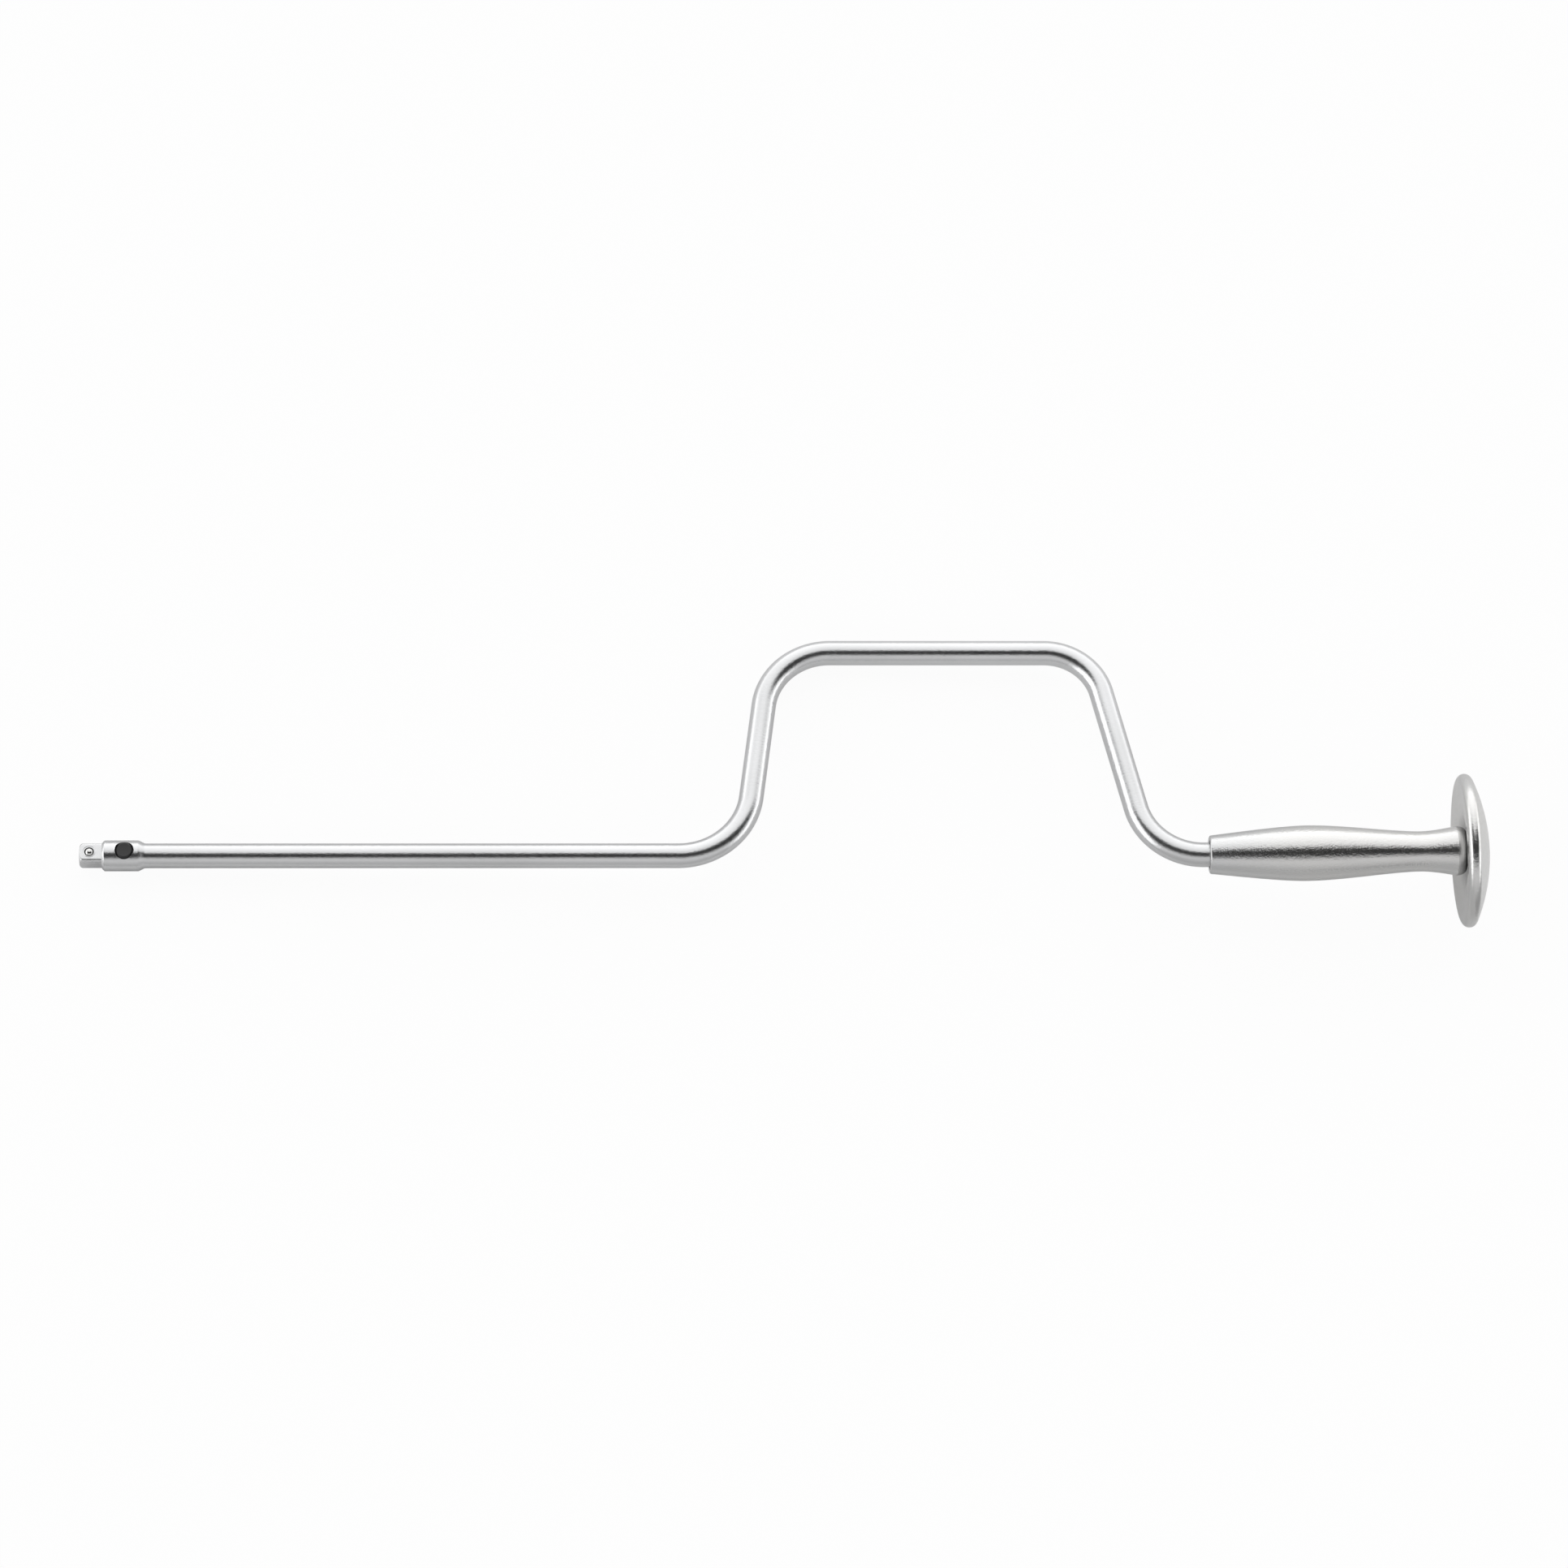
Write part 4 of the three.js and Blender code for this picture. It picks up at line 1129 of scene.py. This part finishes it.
def plain_metal(name, tint, surface):
    """A metal for the pieces inside and the walls of the holes: mottled, with fine grain."""
    roughness, patches = surface
    material, nodes, shader = new_material(name)
    place = nodes.add("ShaderNodeTexCoord").outputs["Object"]
    handled = place_group(nodes, handling, Size=patches)["Mask"]
    grain = nodes.noise(place, PLAIN_GRAIN, 3)
    shader.inputs["Metallic"].default_value = 1
    nodes.feed(nodes.mix(handled, opaque(tint), opaque(tint, PLAIN_DULL)), shader.inputs["Base Color"])
    nodes.feed(nodes.plus(nodes.times(grain, PLAIN_GRAIN_ROUGH), roughness), shader.inputs["Roughness"])
    nodes.feed(nodes.bump(grain, *PLAIN_BUMP), shader.inputs["Normal"])
    return material


class BRACE_OT_inner(bpy.types.Operator):
    """Gives the pieces inside the drive and the sleeve their finishes"""

    bl_idname = "brace.inner"
    bl_label = "Inner pieces"

    def execute(self, context):
        finishes = settings("finishes")
        steel = plain_metal("inner_steel", finishes.steel, STEEL_SURFACE)
        spring = plain_metal("drawn_wire", finishes.spring, WIRE_SURFACE)
        bronze = plain_metal("sintered_bronze", finishes.bronze, ROUGH_SURFACE)
        wanted = {
            "lock_rod": steel,
            "thrust_washer": steel,
            "thrust_ball": steel,
            "retaining_ring": spring,
            "front_bush": bronze,
            "rear_bush": bronze,
        }
        for node, material in wanted.items():
            data = frame["nodes"][node].data
            data.materials.clear()
            data.materials.append(material)
        return {"FINISHED"}


# The stage.

# The floor's fibre: its fineness, and how dark it is.
FIBRE_FINENESS = 700
FIBRE_SHADE = 0.985

# Where the floor, as metal mirrors it, is painted plain white behind and before the shaft and past the
# tool's ends; before the shaft the same span also paints it darker, as painted shade.
FLOOR_BEHIND = (10 * MM, 130 * MM)
FLOOR_BEFORE = (-60 * MM, -10 * MM)
FLOOR_BEYOND = (218 * MM, 255 * MM)

# The room in bands round the tool's length: degrees from overhead, towards the crank, and brightness.
ROOM_ACROSS = [
    (-90, 0.65),
    (-70, 0.83),
    (-58, 0.92),
    (-46, 0.94),
    (-37, 0.62),
    (-25, 0.04),
    (1, 0.04),
    (5, 0.39),
    (12, 1.10),
    (20, 1.32),
    (34, 1.45),
    (50, 1.68),
    (65, 1.78),
    (80, 2.05),
    (100, 2.15),
]

# The same beyond the ends of the dark gap.
ROOM_ENDS = [
    (-90, 2.20),
    (-50, 2.40),
    (-15, 2.30),
    (10, 2.20),
    (100, 2.20),
]
ROOM_BRIGHTEST = 2.4

# The dark gap: its middle, where it ends towards the drive and the disc, and how its crank side widens.
GAP_MIDDLE = math.radians(-12)
GAP_END_DRIVE = (0.7, 0.85)
GAP_END_DISC = (0.74, 1.0)
GAP_WIDENS = (0.1, 0.6)
GAP_WIDER = math.radians(18)


def mirrored_white(nodes, across, from_shaft):
    """How far metal sees the floor painted plain white, a painted light over its shade; the real shade stays
    near the tool.
    """
    stage = settings("stage")
    behind = nodes.smooth(from_shaft, FLOOR_BEHIND, (0, stage.floor_behind))
    before = nodes.smooth(from_shaft, FLOOR_BEFORE, (stage.floor_before, 0))
    beyond = nodes.smooth(nodes.math("ABSOLUTE", across), FLOOR_BEYOND, (0, stage.floor_behind))
    return nodes.larger(nodes.larger(behind, before), beyond)


def floor_material():
    """Pale paper with a faint fibre, which shows as plain white by a share; metal sees it painted white
    behind the tool and past its ends, and painted darker before it.
    """
    tint, stage = settings("finishes").floor, settings("stage")
    material, nodes, shader = new_material("pale_floor")
    place = nodes.add("ShaderNodeTexCoord").outputs["Object"]
    spot = nodes.split(place)
    from_shaft = nodes.math("SUBTRACT", spot["Y"], tool_frame().translation.y)
    fibre = nodes.noise(place, FIBRE_FINENESS, 3)
    nodes.feed(nodes.mix(fibre, opaque(tint), opaque(tint, FIBRE_SHADE)), shader.inputs["Base Color"])
    shader.inputs["Roughness"].default_value = 1
    shader.inputs["Specular IOR Level"].default_value = 0
    path = nodes.add("ShaderNodeLightPath").outputs
    white = nodes.add("ShaderNodeEmission")
    white.inputs["Color"].default_value = WHITE
    # Painted shade: metal sees the floor before the tool dimmer than it is.
    fading = nodes.smooth(from_shaft, FLOOR_BEFORE, (stage.mirrored_front_shade, 1))
    nodes.feed(nodes.larger(path["Is Camera Ray"], fading), white.inputs["Strength"])
    mirrored = nodes.larger(path["Is Glossy Ray"], path["Is Transmission Ray"])
    by_metal = nodes.times(mirrored, mirrored_white(nodes, spot["X"], from_shaft))
    by_camera = nodes.times(path["Is Camera Ray"], stage.floor_white)
    seen = nodes.mix_shaders(nodes.larger(by_camera, by_metal), shader, white)
    nodes.feed(seen, nodes.find("OUTPUT_MATERIAL").inputs["Surface"])
    return material


def room_ramp(nodes, lean, bands):
    """One set of bands as a colour ramp over the lean from overhead, scaled to fit it."""
    ramp = nodes.add("ShaderNodeValToRGB")
    elements = ramp.color_ramp.elements
    while len(elements) < len(bands):
        elements.new(0.5)
    for element, (degrees, brightness) in zip(elements, bands):
        element.position = math.radians(degrees) / FULL_TURN + 0.5
        element.color = opaque([brightness / ROOM_BRIGHTEST] * 3)
    nodes.feed(nodes.plus(nodes.math("DIVIDE", lean, FULL_TURN), 0.5), ramp.inputs[0])
    return ramp.outputs["Color"]


def room_light(nodes):
    """The room's brightness in every direction, in the row's frame."""
    way = nodes.split(nodes.add("ShaderNodeTexCoord").outputs["Generated"])
    lean = nodes.math("ARCTAN2", way["Y"], way["Z"])
    from_gap = nodes.math("SUBTRACT", lean, GAP_MIDDLE)
    wider = nodes.smooth(nodes.math("ABSOLUTE", way["X"]), GAP_WIDENS, (0, GAP_WIDER))
    to_crank = nodes.larger(nodes.math("SUBTRACT", from_gap, wider), 0)
    to_shaft = nodes.math("MINIMUM", from_gap, 0)
    widened = nodes.plus(nodes.plus(to_crank, to_shaft), GAP_MIDDLE)
    past_disc = nodes.smooth(way["X"], GAP_END_DISC, (0, 1))
    past_drive = nodes.smooth(nodes.times(way["X"], -1), GAP_END_DRIVE, (0, 1))
    across = room_ramp(nodes, widened, ROOM_ACROSS)
    return nodes.mix(nodes.larger(past_disc, past_drive), across, room_ramp(nodes, lean, ROOM_ENDS))


def studio_world():
    """A soft white side towards the crank, a dimmer side towards the shaft, and a dark gap overhead."""
    world = bpy.data.worlds.new("studio")
    world.use_nodes = True
    nodes = Nodes(world.node_tree)
    nodes.tree.nodes.clear()
    room = nodes.add("ShaderNodeBackground")
    nodes.feed(room_light(nodes), room.inputs["Color"])
    room.inputs["Strength"].default_value = ROOM_BRIGHTEST * settings("stage").room
    white = nodes.add("ShaderNodeBackground")
    white.inputs["Color"].default_value = WHITE
    by_camera = nodes.add("ShaderNodeLightPath").outputs["Is Camera Ray"]
    seen = nodes.mix_shaders(by_camera, room, white)
    nodes.feed(seen, nodes.add("ShaderNodeOutputWorld").inputs["Surface"])
    bpy.context.scene.world = world


def add_floor():
    half = settings("stage").floor_size / 2
    corners = [(-half, -half, 0), (half, -half, 0), (half, half, 0), (-half, half, 0)]
    mesh = bpy.data.meshes.new("floor")
    mesh.from_pydata(corners, [], [(0, 1, 2, 3)])
    mesh.materials.append(floor_material())
    link("floor", mesh)


def add_camera():
    """The camera, at the photograph's angle to the crank's plane."""
    stage = settings("stage")
    turn = tool_frame().to_3x3()
    over = Vector((0, -math.sin(stage.tilt), math.cos(stage.tilt)))
    forward = Vector((1, 0, 0))
    back = over * math.cos(stage.swing) - forward * math.sin(stage.swing)
    right = forward * math.cos(stage.swing) + over * math.sin(stage.swing)
    up = back.cross(right)
    pivot = Vector(stage.pivot)
    aim = pivot + right * stage.aside + up * stage.above
    eye = pivot + back * stage.distance
    look = (eye - aim).normalized()
    across = up.cross(look).normalized()
    axes = [turn @ axis for axis in (across, look.cross(across), look)]
    camera = bpy.data.cameras.new("camera")
    camera.lens = stage.lens
    camera.sensor_width = stage.sensor
    made = link("camera", camera)
    made.matrix_world = Matrix.Translation(tool_frame() @ eye) @ Matrix(axes).transposed().to_4x4()
    bpy.context.scene.camera = made


class BRACE_OT_stage(bpy.types.Operator):
    """Sets up the floor, the studio light and the camera"""

    bl_idname = "brace.stage"
    bl_label = "Stage"

    def execute(self, context):
        add_floor()
        studio_world()
        add_camera()
        context.scene.view_settings.view_transform = "Standard"
        return {"FINISHED"}


class BRACE_PT_panel(bpy.types.Panel):
    """Lists the brace's pieces in the sidebar"""

    bl_idname = "BRACE_PT_panel"
    bl_label = "Speed brace"
    bl_space_type = "VIEW_3D"
    bl_region_type = "UI"
    bl_category = "Speed brace"

    def draw(self, context):
        for operator in OPERATORS:
            self.layout.operator(operator.bl_idname, text=operator.bl_label)


GROUPS = {
    "drive": BraceDriveSizes,
    "bar": BraceBarSizes,
    "grip": BraceGripSizes,
    "finishes": BraceFinishes,
    "stage": BraceStageSettings,
}
OPERATORS = [
    BRACE_OT_bar,
    BRACE_OT_lock,
    BRACE_OT_spring,
    BRACE_OT_sleeve,
    BRACE_OT_disc,
    BRACE_OT_inner,
    BRACE_OT_stage,
]


def register():
    for cls in [*GROUPS.values(), *OPERATORS, BRACE_PT_panel]:
        bpy.utils.register_class(cls)
    for name, group in GROUPS.items():
        setattr(bpy.types.Scene, "brace_" + name, PointerProperty(type=group))


def unregister():
    for name in GROUPS:
        delattr(bpy.types.Scene, "brace_" + name)
    for cls in [BRACE_PT_panel, *reversed(OPERATORS), *reversed(GROUPS.values())]:
        bpy.utils.unregister_class(cls)


def main():
    register()
    bpy.ops.brace.bar()
    bpy.ops.brace.lock()
    bpy.ops.brace.spring()
    bpy.ops.brace.sleeve()
    bpy.ops.brace.disc()
    bpy.ops.brace.inner()
    bpy.ops.brace.stage()


if __name__ == "__main__":
    main()
